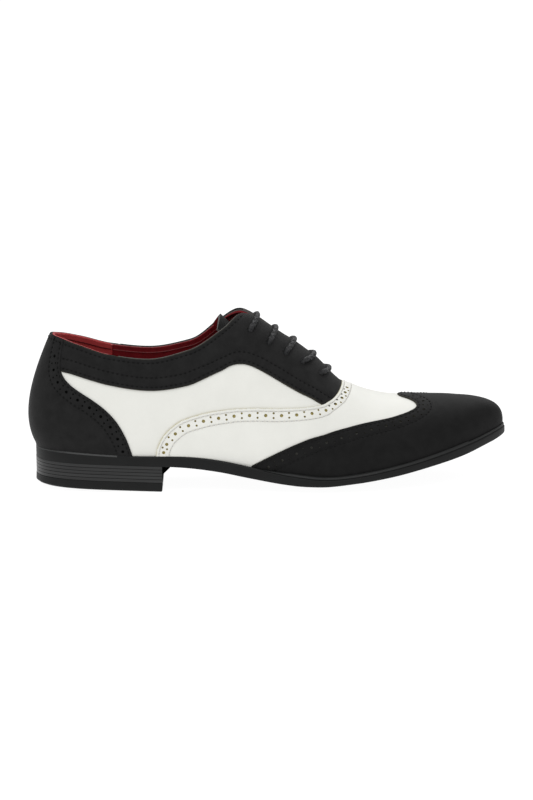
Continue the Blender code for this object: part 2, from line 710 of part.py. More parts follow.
def make_heel():
    ring_stack("top_lift", (
        heel_ring(LIFT_CORNER, -LIFT_CORNER * HEEL_PITCH, 0.0, back_inset=LIFT_CORNER),
        heel_ring(HEEL_INSET, LIFT_CORNER, 0.0, back_inset=-2.0 * HEEL_BACK),
        heel_ring(HEEL_INSET, TOP_LIFT, 0.0, back_inset=-HEEL_BACK),
    ), BLACK_RUBBER, 0.6)
    bottom = TOP_LIFT + GAP
    layer = (STACK_TOP - bottom) / STACK_LAYERS
    rings = [heel_ring(HEEL_INSET, bottom, 0.0, back_inset=-HEEL_BACK)]
    for number in range(1, STACK_LAYERS):
        height = bottom + number * layer
        for rise, groove in ((-GROOVE_HALF, 0.0), (0.0, STACK_GROOVE), (GROOVE_HALF, 0.0)):
            level = height + rise
            rings.append(heel_ring(HEEL_INSET + groove, level, fillet_at(level), back_inset=-HEEL_BACK))
    rings.append(heel_ring(HEEL_INSET, STACK_TOP, fillet_at(STACK_TOP), back_inset=-HEEL_BACK))
    ring_stack("heel_stack", rings, BLACK_RUBBER, 0.45)


def fillet_at(height):
    share = (height - FILLET_FOOT) / (FILLET_HEAD - FILLET_FOOT)
    return FILLET_REACH * min(max(share, 0.0), 1.0)


def make_welt():
    """The narrow bevelled strip on the sole's rim, round the forefoot."""
    start = float(LAST.along_at(LATERAL, WELT_START_X, 0.0))
    ways = np.concatenate([[start], SOLE_COLUMNS[(SOLE_COLUMNS > start + 2.0)]])
    stops = [(LATERAL, way) for way in ways] + [(MEDIAL, way) for way in ways[-2::-1]]
    points, faces = [], []
    for side, way in stops:
        far = float(sole_value("overhang", way)) - WELT_SETBACK
        floor = float(LAST.feather(side, way)[2]) - UPPER_TO_SOLE + GAP
        for reach, rise in ((WELT_NEAR, 0.0), (far, 0.0), (far, WELT_LIP), (WELT_NEAR, WELT_RISE)):
            spot = outline_point(side, way, reach)
            points.append((spot[0], spot[1], floor + rise))
    count = len(stops)
    for stop in range(count - 1):
        for i in range(4):
            j = (i + 1) % 4
            faces.append((stop * 4 + i, stop * 4 + j, stop * 4 + 4 + j, stop * 4 + 4 + i))
    faces += [(0, 1, 2, 3), tuple(range(count * 4 - 4, count * 4))]
    add_mesh("welt", points, faces, BLACK_RUBBER, 0.5)


def make_tongue():
    rows = np.array(TONGUE)
    lanes = 8
    points, faces = [], []
    for x, z, half_width, drop, sweep in rows:
        middle = float(LAST.same["top_y"](LAST.along_at(LATERAL, x, 1.0)))
        for lane in range(lanes + 1):
            share = 2.0 * lane / lanes - 1.0
            back = sweep * share * share * (MEDIAL_SWEEP if share > 0.0 else 1.0)
            points.append((x - back, middle + half_width * share, z - drop * share * share))
    for row in range(len(rows) - 1):
        for lane in range(lanes):
            corner = row * (lanes + 1) + lane
            faces.append((corner, corner + lanes + 1, corner + lanes + 2, corner + 1))
    part = add_mesh("tongue", points, faces, BLACK_LEATHER, 0.6)
    if part.data.polygons[0].normal.z < 0.0:
        part.data.flip_normals()
    sheet = part.modifiers.new("thickness", "SOLIDIFY")
    sheet.thickness = TONGUE_THICKNESS * MM
    sheet.offset = -1.0


def lace_path(x, up, ridge_x):
    """Way of one straight lace bar from its lateral hole over the ridge to its medial hole."""
    path = []
    for side in (LATERAL, MEDIAL):
        start = float(LAST.along_at(side, x, up))
        end = float(LAST.along_at(side, ridge_x, 1.0))
        ways = []
        for share, lift in LACE_LIFTS:
            way = start + (end - start) * share
            height = np.asarray(up + (1.0 - up) * share)
            ways.append(LAST.point(side, way, height) + LAST.normal(side, way, height) * lift)
        path += ways if side == LATERAL else ways[::-1]
    return path


def make_laces():
    for number, row in enumerate(LACES, start=1):
        name = f"lace_bar_{number}"
        curve = bpy.data.curves.new(name, "CURVE")
        curve.dimensions = "3D"
        curve.bevel_depth = LACE_RADIUS * MM
        curve.bevel_resolution = 2
        curve.use_fill_caps = True
        path = lace_path(*row)
        spline = curve.splines.new("POLY")
        spline.points.add(len(path) - 1)
        for point, spot in zip(spline.points, path):
            point.co = (*((spot - [MIDDLE_X, MIDDLE_Y, 0.0]) * MM), 1.0)
        add_object(name, curve, LACE_GREY, 0.5)


for old in list(bpy.data.objects):
    bpy.data.objects.remove(old)
PARTS = bpy.data.collections.new("lace_up_shoe")
bpy.context.scene.collection.children.link(PARTS)

make_outsole()
make_heel()
make_insole()
make_upper()
make_heel_counter()
make_vamp()
make_wing_cap()
make_facing("facing_lateral", LATERAL)
make_facing("facing_medial", MEDIAL)
make_welt()
make_tongue()
make_laces()
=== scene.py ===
"""Looks of the lace-up shoe: a two-tone wing-tip oxford for the right foot, on a pale studio floor.

Sizes are in millimetres, or in percent of the four sizes that drive the last, and x counts from the
back of the heel. +X points to the toe, -Y to the outer (lateral) side, +Z up.
"""

import logging
import math
from dataclasses import dataclass, field
from enum import Enum
from typing import Any

import bpy
import numpy as np
from mathutils import Matrix, Vector
from mathutils.geometry import delaunay_2d_cdt
from mathutils.kdtree import KDTree


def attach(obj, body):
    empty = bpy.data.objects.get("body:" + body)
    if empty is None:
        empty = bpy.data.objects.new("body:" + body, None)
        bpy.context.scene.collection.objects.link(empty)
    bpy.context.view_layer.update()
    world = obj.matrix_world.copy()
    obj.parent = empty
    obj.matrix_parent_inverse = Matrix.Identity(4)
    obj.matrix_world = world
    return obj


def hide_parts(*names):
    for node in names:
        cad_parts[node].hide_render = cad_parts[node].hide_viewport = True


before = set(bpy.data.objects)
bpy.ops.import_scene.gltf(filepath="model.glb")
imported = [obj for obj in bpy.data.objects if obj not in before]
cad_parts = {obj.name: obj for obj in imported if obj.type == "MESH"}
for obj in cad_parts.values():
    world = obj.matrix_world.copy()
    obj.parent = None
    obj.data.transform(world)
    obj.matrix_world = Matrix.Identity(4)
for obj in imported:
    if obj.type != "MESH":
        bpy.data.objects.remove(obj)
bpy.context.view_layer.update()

LOG = logging.getLogger("shoe")
MM = 0.001

# The four sizes that drive the last, and the middle of the finished shoe in plan, in mm.
LENGTH = 300.0
BALL_WIDTH = 95.0
INSTEP_HEIGHT = 110.0
HEEL_SEAT = 23.0
MIDDLE_X = 152.57
MIDDLE_Y = -1.06

# Height of the flat pattern that the leather is cut in, and how far its lines run on past the last
# so that they always cross, in mm.
FLAT_HEIGHT = 60.0
RUN_ON = 9.0
# Slopes and normals are taken no higher than this way up: above it the toe's columns run together.
RIDGE_STOP = 0.96
# Steps to both sides over which slopes are taken: round the plan and along the skin in mm, and in way up.
PLAN_STEP = 0.05
SKIN_STEP = 0.2
CLIMB_STEP = 0.002
# Halvings that find a way along from its x, and points to each stretch of a smooth curve.
HALVINGS = 36
CURVE_STEPS = 24

# One row per station along the last. Percent of: length for x, ball width for the plan, heel seat
# for feather_z, instep height for top_z, rise and drop. The profile leaves the feather line with
# flare and rise and reaches the top edge from crown and drop.
STATION_COLUMNS = (
    "name", "feather_x", "lateral", "medial", "feather_z",
    "top_x", "top_y", "half_gap", "top_z", "flare", "rise", "crown", "drop",
)
STATIONS = (
    ("heel back", 1.5, 0.0, 0.0, 119.6, 5.1, 0.0, 0.0, 89.7, 10.8, 17.0, 13.0, 25.0),
    ("heel round", 3.7, 19.5, 19.5, 118.3, 6.6, 0.0, 12.1, 88.7, 9.8, 17.3, 11.2, 24.5),
    ("heel side", 9.0, 29.5, 29.0, 114.4, 11.1, 0.0, 23.2, 85.3, 7.7, 17.8, 9.7, 23.6),
    ("heel middle", 16.7, 33.5, 31.8, 107.0, 18.0, 0.0, 28.4, 79.6, 5.8, 19.0, 6.3, 20.0),
    ("low collar", 25.0, 35.0, 31.0, 101.5, 26.3, 0.0, 30.0, 76.9, 4.7, 20.0, 5.3, 18.2),
    ("waist", 33.3, 36.0, 29.3, 99.4, 34.7, 0.0, 27.4, 81.4, 4.7, 21.8, 7.4, 18.2),
    ("arch", 40.3, 38.1, 29.7, 90.0, 42.0, 0.0, 18.4, 92.5, 4.7, 25.5, 14.7, 14.5),
    ("facing top", 47.0, 41.5, 33.2, 73.4, 46.3, 0.0, 4.4, 99.6, 4.7, 27.3, 25.3, 5.5),
    ("facing", 55.0, 46.7, 40.5, 51.5, 55.7, 0.5, 2.4, 84.3, 4.2, 27.3, 28.4, 1.8),
    ("facing low", 58.7, 48.9, 43.7, 44.8, 61.3, 1.0, 1.7, 73.0, 4.0, 25.9, 28.4, 1.1),
    ("throat", 62.3, 50.3, 46.3, 40.4, 66.8, 1.6, 0.8, 58.3, 3.7, 23.6, 27.4, 0.5),
    ("ball", 69.0, 50.7, 48.6, 45.2, 71.3, 2.1, 0.0, 53.0, 3.2, 20.0, 27.4, 0.0),
    ("vamp", 76.7, 47.0, 47.0, 60.9, 77.3, 3.2, 0.0, 48.8, 2.6, 17.3, 27.4, 0.0),
    ("forefoot", 84.7, 37.9, 41.3, 82.6, 83.3, 4.2, 0.0, 47.7, 2.3, 15.5, 26.3, 0.5),
    ("toe side", 91.8, 25.3, 32.2, 106.0, 88.0, 5.8, 0.0, 47.2, 2.1, 14.1, 24.6, 1.4),
    ("toe corner", 97.7, 9.1, 21.5, 127.0, 90.2, 6.8, 0.0, 46.6, 1.8, 13.2, 24.8, 2.2),
    ("toe tip", 100.95, -7.9, 7.9, 140.4, 90.7, 7.4, 0.0, 46.5, 1.6, 12.7, 24.9, 2.4),
)

# How the medial top edge differs from the lateral one at the stations from the heel: forward, higher.
MEDIAL_TOP = (
    (0.0, 0.0), (0.0, -0.6), (0.0, -1.0), (0.0, -0.9), (0.0, -0.8), (0.0, -1.2), (-2.5, 1.0),
    (-2.0, 2.0), (0.0, 0.0),
)

# The sole at the same stations: overhang past the feather line, height of the lower edge, how far
# the middle hangs below that edge, how far the top dips, and the rounding of the edge.
SOLE_VALUES = ("overhang", "bottom", "belly", "dish", "edge")
SOLE = (
    (0.1, 19.8, 0.0, 0.0, 0.2),
    (0.5, 19.55, 0.0, 0.0, 0.2),
    (1.0, 18.9, 0.0, 0.5, 0.2),
    (1.0, 17.9, 0.0, 1.0, 0.2),
    (1.0, 16.85, 0.0, 1.0, 0.3),
    (1.2, 15.3, 0.0, 1.0, 0.6),
    (1.8, 12.7, 1.0, 1.5, 0.9),
    (2.8, 9.0, 2.2, 2.0, 1.1),
    (3.6, 5.2, 4.4, 2.5, 1.2),
    (3.8, 4.2, 4.9, 2.6, 1.2),
    (4.0, 4.0, 5.2, 2.6, 1.2),
    (4.0, 5.7, 4.6, 2.5, 1.2),
    (3.8, 8.8, 2.8, 2.2, 1.2),
    (3.5, 13.3, 1.5, 1.8, 1.2),
    (3.3, 17.9, 0.6, 1.0, 1.2),
    (2.7, 23.1, 0.2, 0.3, 1.2),
    (2.3, 26.5, 0.0, 0.0, 1.2),
)

EdgeTable = tuple[tuple[float, float], ...]

# Edges of the leather pieces as (x in mm, share of the way up the profile), from the sole or the heel.
COUNTER_EDGE = (
    (66.8, 0.00), (63.3, 0.163), (59.4, 0.288), (55.2, 0.383), (49.3, 0.476), (42.7, 0.548),
    (36.0, 0.601), (30.6, 0.642), (26.6, 0.680), (24.0, 0.714), (22.3, 0.754), (21.8, 0.80),
    (22.2, 0.86), (23.2, 0.935), (24.2, 1.00),
)
VAMP_EDGE = (
    (81.7, 0.00), (83.4, 0.10), (87.1, 0.20), (91.8, 0.270), (97.2, 0.322), (103.4, 0.347),
    (110.9, 0.354), (119.0, 0.348), (128.8, 0.339), (138.4, 0.336), (147.2, 0.351),
    (158.2, 0.383), (170.3, 0.430), (180.4, 0.489), (188.2, 0.567), (191.4, 0.615),
    (194.7, 0.671), (197.8, 0.745), (199.9, 0.830), (200.9, 0.915), (201.2, 1.00),
)
WING_EDGE = (
    (141.8, 0.00), (151.8, 0.078), (164.0, 0.164), (176.0, 0.247), (192.2, 0.370),
    (206.0, 0.447), (216.5, 0.497), (224.2, 0.529), (231.8, 0.561), (239.7, 0.605),
    (243.6, 0.636), (246.6, 0.670), (247.9, 0.708), (247.8, 0.752), (246.3, 0.80),
    (242.8, 0.86), (239.6, 0.90), (237.4, 0.94), (236.4, 1.00),
)
COLLAR_EDGE = (
    (22.4, 0.755), (28.6, 0.756), (36.0, 0.744), (44.9, 0.729), (62.5, 0.691), (80.0, 0.670),
    (99.2, 0.653), (110.7, 0.649), (120.5, 0.630), (128.6, 0.607), (133.6, 0.587),
    (138.4, 0.576), (151.4, 0.568), (159.6, 0.560), (168.0, 0.549), (176.0, 0.548),
    (184.2, 0.560), (188.6, 0.569),
)
# The upright seam between the heel lining and the front lining.
LINING_SEAM = ((54.0, 0.0), (54.0, 0.5), (54.0, 1.0))
# An x past the toe, for lines that have no end of their own before it.
PAST_TOE_X = 305.0

# Points round a lace hole.
LACE_HOLE_CORNERS = 14
# Lace holes, top pair first: x and way up of the hole, and x where its bar crosses the ridge.
LACES = (
    (143.2, 0.815, 147.4), (154.9, 0.794, 159.0), (165.4, 0.788, 170.6), (176.2, 0.798, 183.0),
    (187.6, 0.822, 192.3),
)

# Tongue rows from its free top end to the end sewn under the throat: x, z, half width, drop, and how
# far its side edges sweep back, which is more on the medial side.
MEDIAL_SWEEP = 2.4
TONGUE = (
    (124.4, 108.4, 13.5, 7.5, 2.0),
    (132.6, 100.6, 15.5, 8.0, 1.0),
    (145.0, 92.5, 18.0, 8.0, 0.0),
    (165.0, 79.5, 19.0, 7.0, 0.0),
    (185.0, 65.0, 17.0, 5.5, 0.0),
    (198.0, 57.2, 15.0, 6.0, 0.0),
    (208.0, 53.9, 13.0, 5.5, 0.0),
)


class Side(Enum):
    """The two sides of the last, by the sign of y."""

    LATERAL = -1
    MEDIAL = 1


class Pit(Enum):
    """What a hole in a piece of leather goes through."""

    PUNCHED = "punched"
    THROUGH = "through"


BOTH = (Side.LATERAL, Side.MEDIAL)


class LoopSpline:
    """A smooth closed curve of one value, through one value per knot round the last."""

    def __init__(self, knots: np.ndarray, period: float, values: np.ndarray, flat: bool = False) -> None:
        """Keep the knots and work out the tangent at each.

        Args:
            knots: places of the values round the loop.
            period: length of the loop.
            values: one value per knot.
            flat: True for tangents that never overshoot.
        """
        self.knots = knots
        self.period = period
        self.values = values
        gaps = np.diff(np.append(knots, period))
        slopes = (np.roll(values, -1) - values) / gaps
        self.tangents = self.flat_tangents(slopes) if flat else self.smooth_tangents(gaps, slopes)

    @staticmethod
    def smooth_tangents(gaps: np.ndarray, slopes: np.ndarray) -> np.ndarray:
        """Tangents that make the bend run on through each knot.

        Args:
            gaps: distance from each knot to the next.
            slopes: slope of the straight line from each knot to the next.

        Returns:
            One tangent per knot.
        """
        count = len(gaps)
        matrix = np.zeros((count, count))
        right = np.zeros(count)
        for knot in range(count):
            before, after = gaps[knot - 1], gaps[knot]
            matrix[knot, knot - 1] += after
            matrix[knot, knot] += 2.0 * (before + after)
            matrix[knot, (knot + 1) % count] += before
            right[knot] = 3.0 * (after * slopes[knot - 1] + before * slopes[knot])
        return np.linalg.solve(matrix, right)

    @staticmethod
    def flat_tangents(slopes: np.ndarray) -> np.ndarray:
        """Tangents that never overshoot, so equal values stay equal between knots."""
        before = np.roll(slopes, 1)
        same_way = before * slopes > 0.0
        total = np.where(same_way, before + slopes, 1.0)
        return np.where(same_way, 2.0 * before * slopes / total, 0.0)

    def __call__(self, at: np.ndarray) -> np.ndarray:
        """Values of the curve.

        Args:
            at: places round the loop.

        Returns:
            One value per place.
        """
        at = np.mod(at, self.period)
        left = np.clip(np.searchsorted(self.knots, at, side="right") - 1, 0, len(self.knots) - 1)
        right = (left + 1) % len(self.knots)
        ends = np.append(self.knots, self.period)
        width = ends[left + 1] - ends[left]
        t = (at - ends[left]) / width
        start = (1.0 + 2.0 * t) * (1.0 - t) ** 2 * self.values[left]
        end = t * t * (3.0 - 2.0 * t) * self.values[right]
        bends = t * (1.0 - t) ** 2 * self.tangents[left] - t * t * (1.0 - t) * self.tangents[right]
        return start + end + width * bends


class Last:
    """The form inside the shoe: points by side, way along (mm, heel to toe) and way up (0 to 1)."""

    def __init__(self) -> None:
        """Make the splines of the station and sole tables."""
        table = {name: index for index, name in enumerate(STATION_COLUMNS)}
        sizes = {"feather_z": HEEL_SEAT, "feather_x": LENGTH, "top_x": LENGTH}
        sizes.update({name: INSTEP_HEIGHT for name in ("top_z", "rise", "drop")})
        column = {
            name: np.array([row[table[name]] for row in STATIONS]) * sizes.get(name, BALL_WIDTH) / 100
            for name in STATION_COLUMNS[1:]
        }
        sole = {name: np.array([row[i] for row in SOLE]) for i, name in enumerate(SOLE_VALUES)}
        steps = [
            np.hypot(np.diff(column["feather_x"]), np.diff(column[side]))
            for side in ("lateral", "medial")
        ]
        half_steps = (steps[0] + steps[1]) / 2.0
        self.half = float(half_steps.sum())
        way = np.concatenate([[0.0], np.cumsum(half_steps)])
        knots = self.round_loop(way, 2.0 * self.half - way)
        period = 2.0 * self.half

        def spline(lateral: np.ndarray, medial: np.ndarray, flat: bool = False) -> LoopSpline:
            """Closed spline of one column, lateral and medial."""
            return LoopSpline(knots, period, self.round_loop(lateral, medial), flat)

        self.feather_y = spline(-column["lateral"], column["medial"])
        self.half_gap = spline(-column["half_gap"], column["half_gap"], flat=True)
        level = np.zeros(len(STATIONS))
        differ = np.zeros((len(STATIONS), 2))
        differ[:len(MEDIAL_TOP)] = MEDIAL_TOP
        self.medial_forward = spline(level, differ[:, 0], flat=True)
        self.medial_higher = spline(level, differ[:, 1], flat=True)
        self.same = {
            name: spline(column[name], column[name])
            for name in ("feather_x", "feather_z", "top_x", "top_y", "flare", "rise", "crown", "drop")
        }
        self.same["top_z"] = spline(column["top_z"], column["top_z"], flat=True)
        self.sole = {name: spline(sole[name], sole[name], flat=True) for name in SOLE_VALUES}

    @staticmethod
    def round_loop(lateral: np.ndarray, medial: np.ndarray) -> np.ndarray:
        """Lateral values from heel to toe, then medial values from toe to heel."""
        return np.concatenate([lateral, medial[-2:0:-1]])

    def loop_at(self, side: Side, along: np.ndarray) -> np.ndarray:
        """Place round the loop of a way along on one side."""
        along = np.asarray(along, dtype=float)
        return along if side is Side.LATERAL else 2.0 * self.half - along

    def feather(self, side: Side, along: np.ndarray) -> np.ndarray:
        """Points of the feather line, where the upper meets the sole."""
        at = self.loop_at(side, along)
        return np.stack([self.same["feather_x"](at), self.feather_y(at), self.same["feather_z"](at)], -1)

    def outward(self, side: Side, along: np.ndarray) -> np.ndarray:
        """Level direction that points out of the plan outline.

        Args:
            side: side of the last.
            along: way along, in mm.

        Returns:
            One unit direction per way along.
        """
        at = self.loop_at(side, along)
        run_x = self.same["feather_x"](at + PLAN_STEP) - self.same["feather_x"](at - PLAN_STEP)
        run_y = self.feather_y(at + PLAN_STEP) - self.feather_y(at - PLAN_STEP)
        length = np.hypot(run_x, run_y)
        return np.stack([run_y / length, -run_x / length, np.zeros_like(length)], -1)

    def point(self, side: Side, along: np.ndarray, up: np.ndarray) -> np.ndarray:
        """Points of the last's skin.

        Args:
            side: side of the last.
            along: way along, in mm.
            up: share of the way up the profile.

        Returns:
            Points in mm, counted from the back of the heel.
        """
        at = self.loop_at(side, along)
        level = self.outward(side, along)
        value = {name: spline(at) for name, spline in self.same.items()}
        start = self.feather(side, along)
        end = np.stack([
            value["top_x"] + self.medial_forward(at),
            value["top_y"] + self.half_gap(at),
            value["top_z"] + self.medial_higher(at),
        ], -1)
        upward = np.array([0.0, 0.0, 1.0])
        low = start + level * value["flare"][..., None] + upward * value["rise"][..., None]
        high = end + level * value["crown"][..., None] - upward * value["drop"][..., None]
        t = np.asarray(up, dtype=float)[..., None]
        return (
            (1 - t) ** 3 * start + 3 * (1 - t) ** 2 * t * low + 3 * (1 - t) * t * t * high + t ** 3 * end
        )

    def slopes(self, side: Side, along: np.ndarray, up: np.ndarray) -> tuple[np.ndarray, np.ndarray]:
        """How the skin runs at some of its points.

        Args:
            side: side of the last.
            along: way along, in mm.
            up: share of the way up the profile.

        Returns:
            Change of the point per mm along, and per unit up.
        """
        along = np.asarray(along, dtype=float)
        up = np.asarray(up, dtype=float)
        above, below = np.minimum(up + CLIMB_STEP, 1.0), np.maximum(up - CLIMB_STEP, 0.0)
        ahead, behind = (self.point(side, along + step, up) for step in (SKIN_STEP, -SKIN_STEP))
        climb = (self.point(side, along, above) - self.point(side, along, below)) / (above - below)[..., None]
        return (ahead - behind) / (2.0 * SKIN_STEP), climb

    def normal(self, side: Side, along: np.ndarray, up: np.ndarray) -> np.ndarray:
        """Outward normals, with the way up stopped short of the ridge.

        Args:
            side: side of the last.
            along: way along, in mm.
            up: share of the way up the profile.

        Returns:
            One unit normal per point.
        """
        run, climb = self.slopes(side, along, np.minimum(up, RIDGE_STOP))
        across = np.cross(run, climb) * -side.value
        return across / np.linalg.norm(across, axis=-1, keepdims=True)

    def along_at(self, side: Side, x: np.ndarray, up: np.ndarray) -> np.ndarray:
        """Way along at which the last's skin reaches an x.

        Args:
            side: side of the last.
            x: distance from the back of the heel, in mm.
            up: share of the way up the profile.

        Returns:
            Way along, in mm, in the shape of x and up together.
        """
        x, up = np.broadcast_arrays(np.asarray(x, dtype=float), np.asarray(up, dtype=float))
        low, high = np.zeros_like(x), np.full_like(x, self.half)
        for _ in range(HALVINGS):
            middle = (low + high) / 2.0
            short = self.point(side, middle, up)[..., 0] < x
            low, high = np.where(short, middle, low), np.where(short, high, middle)
        return (low + high) / 2.0

    def sole_value(self, name: str, along: np.ndarray) -> np.ndarray:
        """One of the sole's values at a way along."""
        return self.sole[name](np.asarray(along, dtype=float))


LAST = Last()


def smooth_path(points: np.ndarray, spacing: float) -> np.ndarray:
    """Points at an even spacing on a smooth curve through the given points.

    Args:
        points: rows of coordinates, two or three to a row.
        spacing: distance between the points returned, in the same unit.

    Returns:
        Rows of coordinates along the curve, both ends included.
    """
    points = np.array(points, dtype=float)
    padded = np.vstack([2 * points[0] - points[1], points, 2 * points[-1] - points[-2]])
    share = np.linspace(0.0, 1.0, CURVE_STEPS, endpoint=False)[:, None]
    fine = []
    for before, start, end, after in zip(padded, padded[1:], padded[2:], padded[3:]):
        bend = 2 * before - 5 * start + 4 * end - after
        turn = -before + 3 * start - 3 * end + after
        fine.append(start + 0.5 * share * ((end - before) + share * (bend + share * turn)))
    fine = np.vstack(fine + [points[-1:]])
    return even_path(fine, spacing)


def way_up(flat: np.ndarray) -> np.ndarray:
    """Way up of points in the flat pattern, kept on the last."""
    return np.clip(flat[:, 1] / FLAT_HEIGHT, 0.0, 1.0)


def even_path(fine: np.ndarray, spacing: float) -> np.ndarray:
    """The same polyline, both ends included, with its points at an even spacing."""
    way = np.concatenate([[0.0], np.cumsum(np.linalg.norm(np.diff(fine, axis=0), axis=1))])
    even = np.linspace(0.0, way[-1], max(2, int(round(way[-1] / spacing)) + 1))
    return np.stack([np.interp(even, way, fine[:, axis]) for axis in range(fine.shape[1])], -1)


@dataclass
class Trace:
    """A line on one side of the last, in the flat pattern: (way along, height) in mm."""

    side: Side
    flat: np.ndarray
    cut: bool = True

    @classmethod
    def of_table(cls, side: Side, table: EdgeTable) -> "Trace":
        """The smooth line through a table, run on straight past both ends.

        Args:
            side: side of the last.
            table: rows of (x in mm, share of the way up the profile).

        Returns:
            The line, with points about 1 mm apart.
        """
        path = smooth_path(np.array(table) * [1.0, FLAT_HEIGHT], 1.0)
        up = way_up(path)
        flat = np.stack([LAST.along_at(side, path[:, 0], up), up * FLAT_HEIGHT], -1)
        return cls(side, run_on(flat, slope_over=2, reach=12.0, count=12))

    @classmethod
    def level(cls, side: Side, height: float, columns: np.ndarray, cut: bool) -> "Trace":
        """A level line of the flat pattern on the given columns, run on past heel and toe."""
        along = np.concatenate([[-RUN_ON], columns, [LAST.half + RUN_ON]])
        return cls(side, np.stack([along, np.full(len(along), height)], -1), cut)

    @classmethod
    def upright(cls, side: Side, along: float, rows: np.ndarray) -> "Trace":
        """An upright line of the flat pattern on the given rows, run on past sole and top edge."""
        height = np.concatenate([[-RUN_ON], rows * FLAT_HEIGHT, [FLAT_HEIGHT + RUN_ON]])
        return cls(side, np.stack([np.full(len(height), along), height], -1), False)

    def places(self) -> np.ndarray:
        """Points on the last's skin."""
        return LAST.point(self.side, self.flat[:, 0], way_up(self.flat))

    def normals(self) -> np.ndarray:
        """Outward normals at the points."""
        return LAST.normal(self.side, self.flat[:, 0], way_up(self.flat))

    def tangents(self) -> np.ndarray:
        """Unit directions along the line on the skin."""
        run = np.gradient(self.places(), axis=0)
        return run / np.maximum(np.linalg.norm(run, axis=1, keepdims=True), 1e-9)

    def offset(self, distance: float) -> "Trace":
        """The line moved to its left in the flat pattern, and run on straight past both ends.

        Args:
            distance: how far it moves on the skin, in mm; to the right where negative.

        Returns:
            The moved line.
        """
        if distance == 0.0:
            return self
        beyond = self.flat[:, 1] - np.clip(self.flat[:, 1], 0.0, FLAT_HEIGHT)
        left = np.cross(self.normals(), self.tangents()) * -self.side.value * distance
        moved = self.flat + flat_steps(self.side, self.flat, left)
        on_skin = (beyond == 0.0) & (self.flat[:, 0] > 0.0) & (self.flat[:, 0] < LAST.half)
        return Trace(self.side, run_on(moved[on_skin], slope_over=3, reach=14.0, count=10), self.cut)

    def clipped(self, low: float = 0.0, high: float = 1.0) -> "Trace":
        """The part of the line between two ways up, from heel to toe."""
        height = self.flat[:, 1] / FLAT_HEIGHT
        keep = (height >= low) & (height <= high)
        keep &= (self.flat[:, 0] >= 0.0) & (self.flat[:, 0] <= LAST.half)
        return Trace(self.side, self.flat[keep], self.cut)

    def trimmed(self, start: "Trace", end: "Trace", clear: float = 0.9, step: float = 0.5) -> "Trace":
        """The part of the line from where it crosses one line to where it crosses another.

        Args:
            start: line that the part begins at.
            end: line that the part ends at.
            clear: room left to both, in mm.
            step: distance between the points of the part, in mm.

        Returns:
            The part between.
        """
        first, last = (crossing(self.flat, limit.flat)[0] for limit in (start, end))
        part = Trace(self.side, stretch(self.flat, first, last), self.cut)
        return Trace(self.side, part.at(np.arange(clear, part.way()[-1] - clear, step)), self.cut)

    def way(self) -> np.ndarray:
        """True distance of each point from the start of the line, in mm."""
        steps = np.linalg.norm(np.diff(self.places(), axis=0), axis=1)
        return np.concatenate([[0.0], np.cumsum(steps)])

    def at(self, stops: np.ndarray) -> np.ndarray:
        """Flat points at true distances from the start."""
        way = self.way()
        return np.stack([np.interp(stops, way, self.flat[:, axis]) for axis in range(2)], -1)

    def spaced(self, pitch: float, start: float = 0.0) -> "Trace":
        """The line as points one pitch apart, in true distance."""
        return Trace(self.side, self.at(np.arange(start, self.way()[-1] + 1e-6, pitch)), self.cut)


def run_on(flat: np.ndarray, slope_over: int, reach: float, count: int) -> np.ndarray:
    """A line of the flat pattern with both ends run on straight.

    Args:
        flat: points of the line.
        slope_over: steps at each end that give the direction.
        reach: how far the line runs on, in mm.
        count: points added at each end.

    Returns:
        Points of the longer line.
    """
    ends = []
    for end, inner in ((flat[0], flat[slope_over]), (flat[-1], flat[-1 - slope_over])):
        run = (end - inner) / np.linalg.norm(end - inner)
        ends.append(end + run * np.linspace(reach, 1.0, count)[:, None])
    return np.vstack([ends[0], flat, ends[1][::-1]])


def flat_steps(side: Side, flat: np.ndarray, steps: np.ndarray, end_clear: float = 0.5) -> np.ndarray:
    """Steps in the flat pattern that give the wanted steps on the skin.

    Args:
        side: side of the last.
        flat: points in the flat pattern.
        steps: a step on the skin at each point, in mm.
        end_clear: room kept to heel and toe, where the slopes turn sharply, in mm.

    Returns:
        Steps in the flat pattern.
    """
    up = np.clip(flat[:, 1] / FLAT_HEIGHT, 0.0, RIDGE_STOP)
    run, climb = LAST.slopes(side, np.clip(flat[:, 0], end_clear, LAST.half - end_clear), up)
    climb = climb / FLAT_HEIGHT
    run_run = (run * run).sum(-1)
    run_climb = (run * climb).sum(-1)
    climb_climb = (climb * climb).sum(-1)
    by_run = (steps * run).sum(-1)
    by_climb = (steps * climb).sum(-1)
    scale = run_run * climb_climb - run_climb ** 2
    along = (by_run * climb_climb - by_climb * run_climb) / scale
    height = (by_climb * run_run - by_run * run_climb) / scale
    return np.stack([along, height], -1)


def full_turn(corners: int) -> np.ndarray:
    """Angles of evenly spaced corners round a circle."""
    return 2.0 * math.pi * np.arange(corners) / corners


def round_hole(side: Side, centre: np.ndarray, radius: float, corners: int) -> np.ndarray:
    """A round hole square to the skin.

    Args:
        side: side of the last.
        centre: its middle in the flat pattern.
        radius: its true radius, in mm.
        corners: points round it.

    Returns:
        A loop of points in the flat pattern.
    """
    up = np.array([centre[1] / FLAT_HEIGHT])
    run, climb = LAST.slopes(side, centre[:1], up)
    first = run[0] / np.linalg.norm(run[0])
    second = climb[0] - climb[0].dot(first) * first
    second /= np.linalg.norm(second)
    turn = full_turn(corners)
    ring = radius * (np.cos(turn)[:, None] * first + np.sin(turn)[:, None] * second)
    return centre + flat_steps(side, np.repeat(centre[None], corners, axis=0), ring)


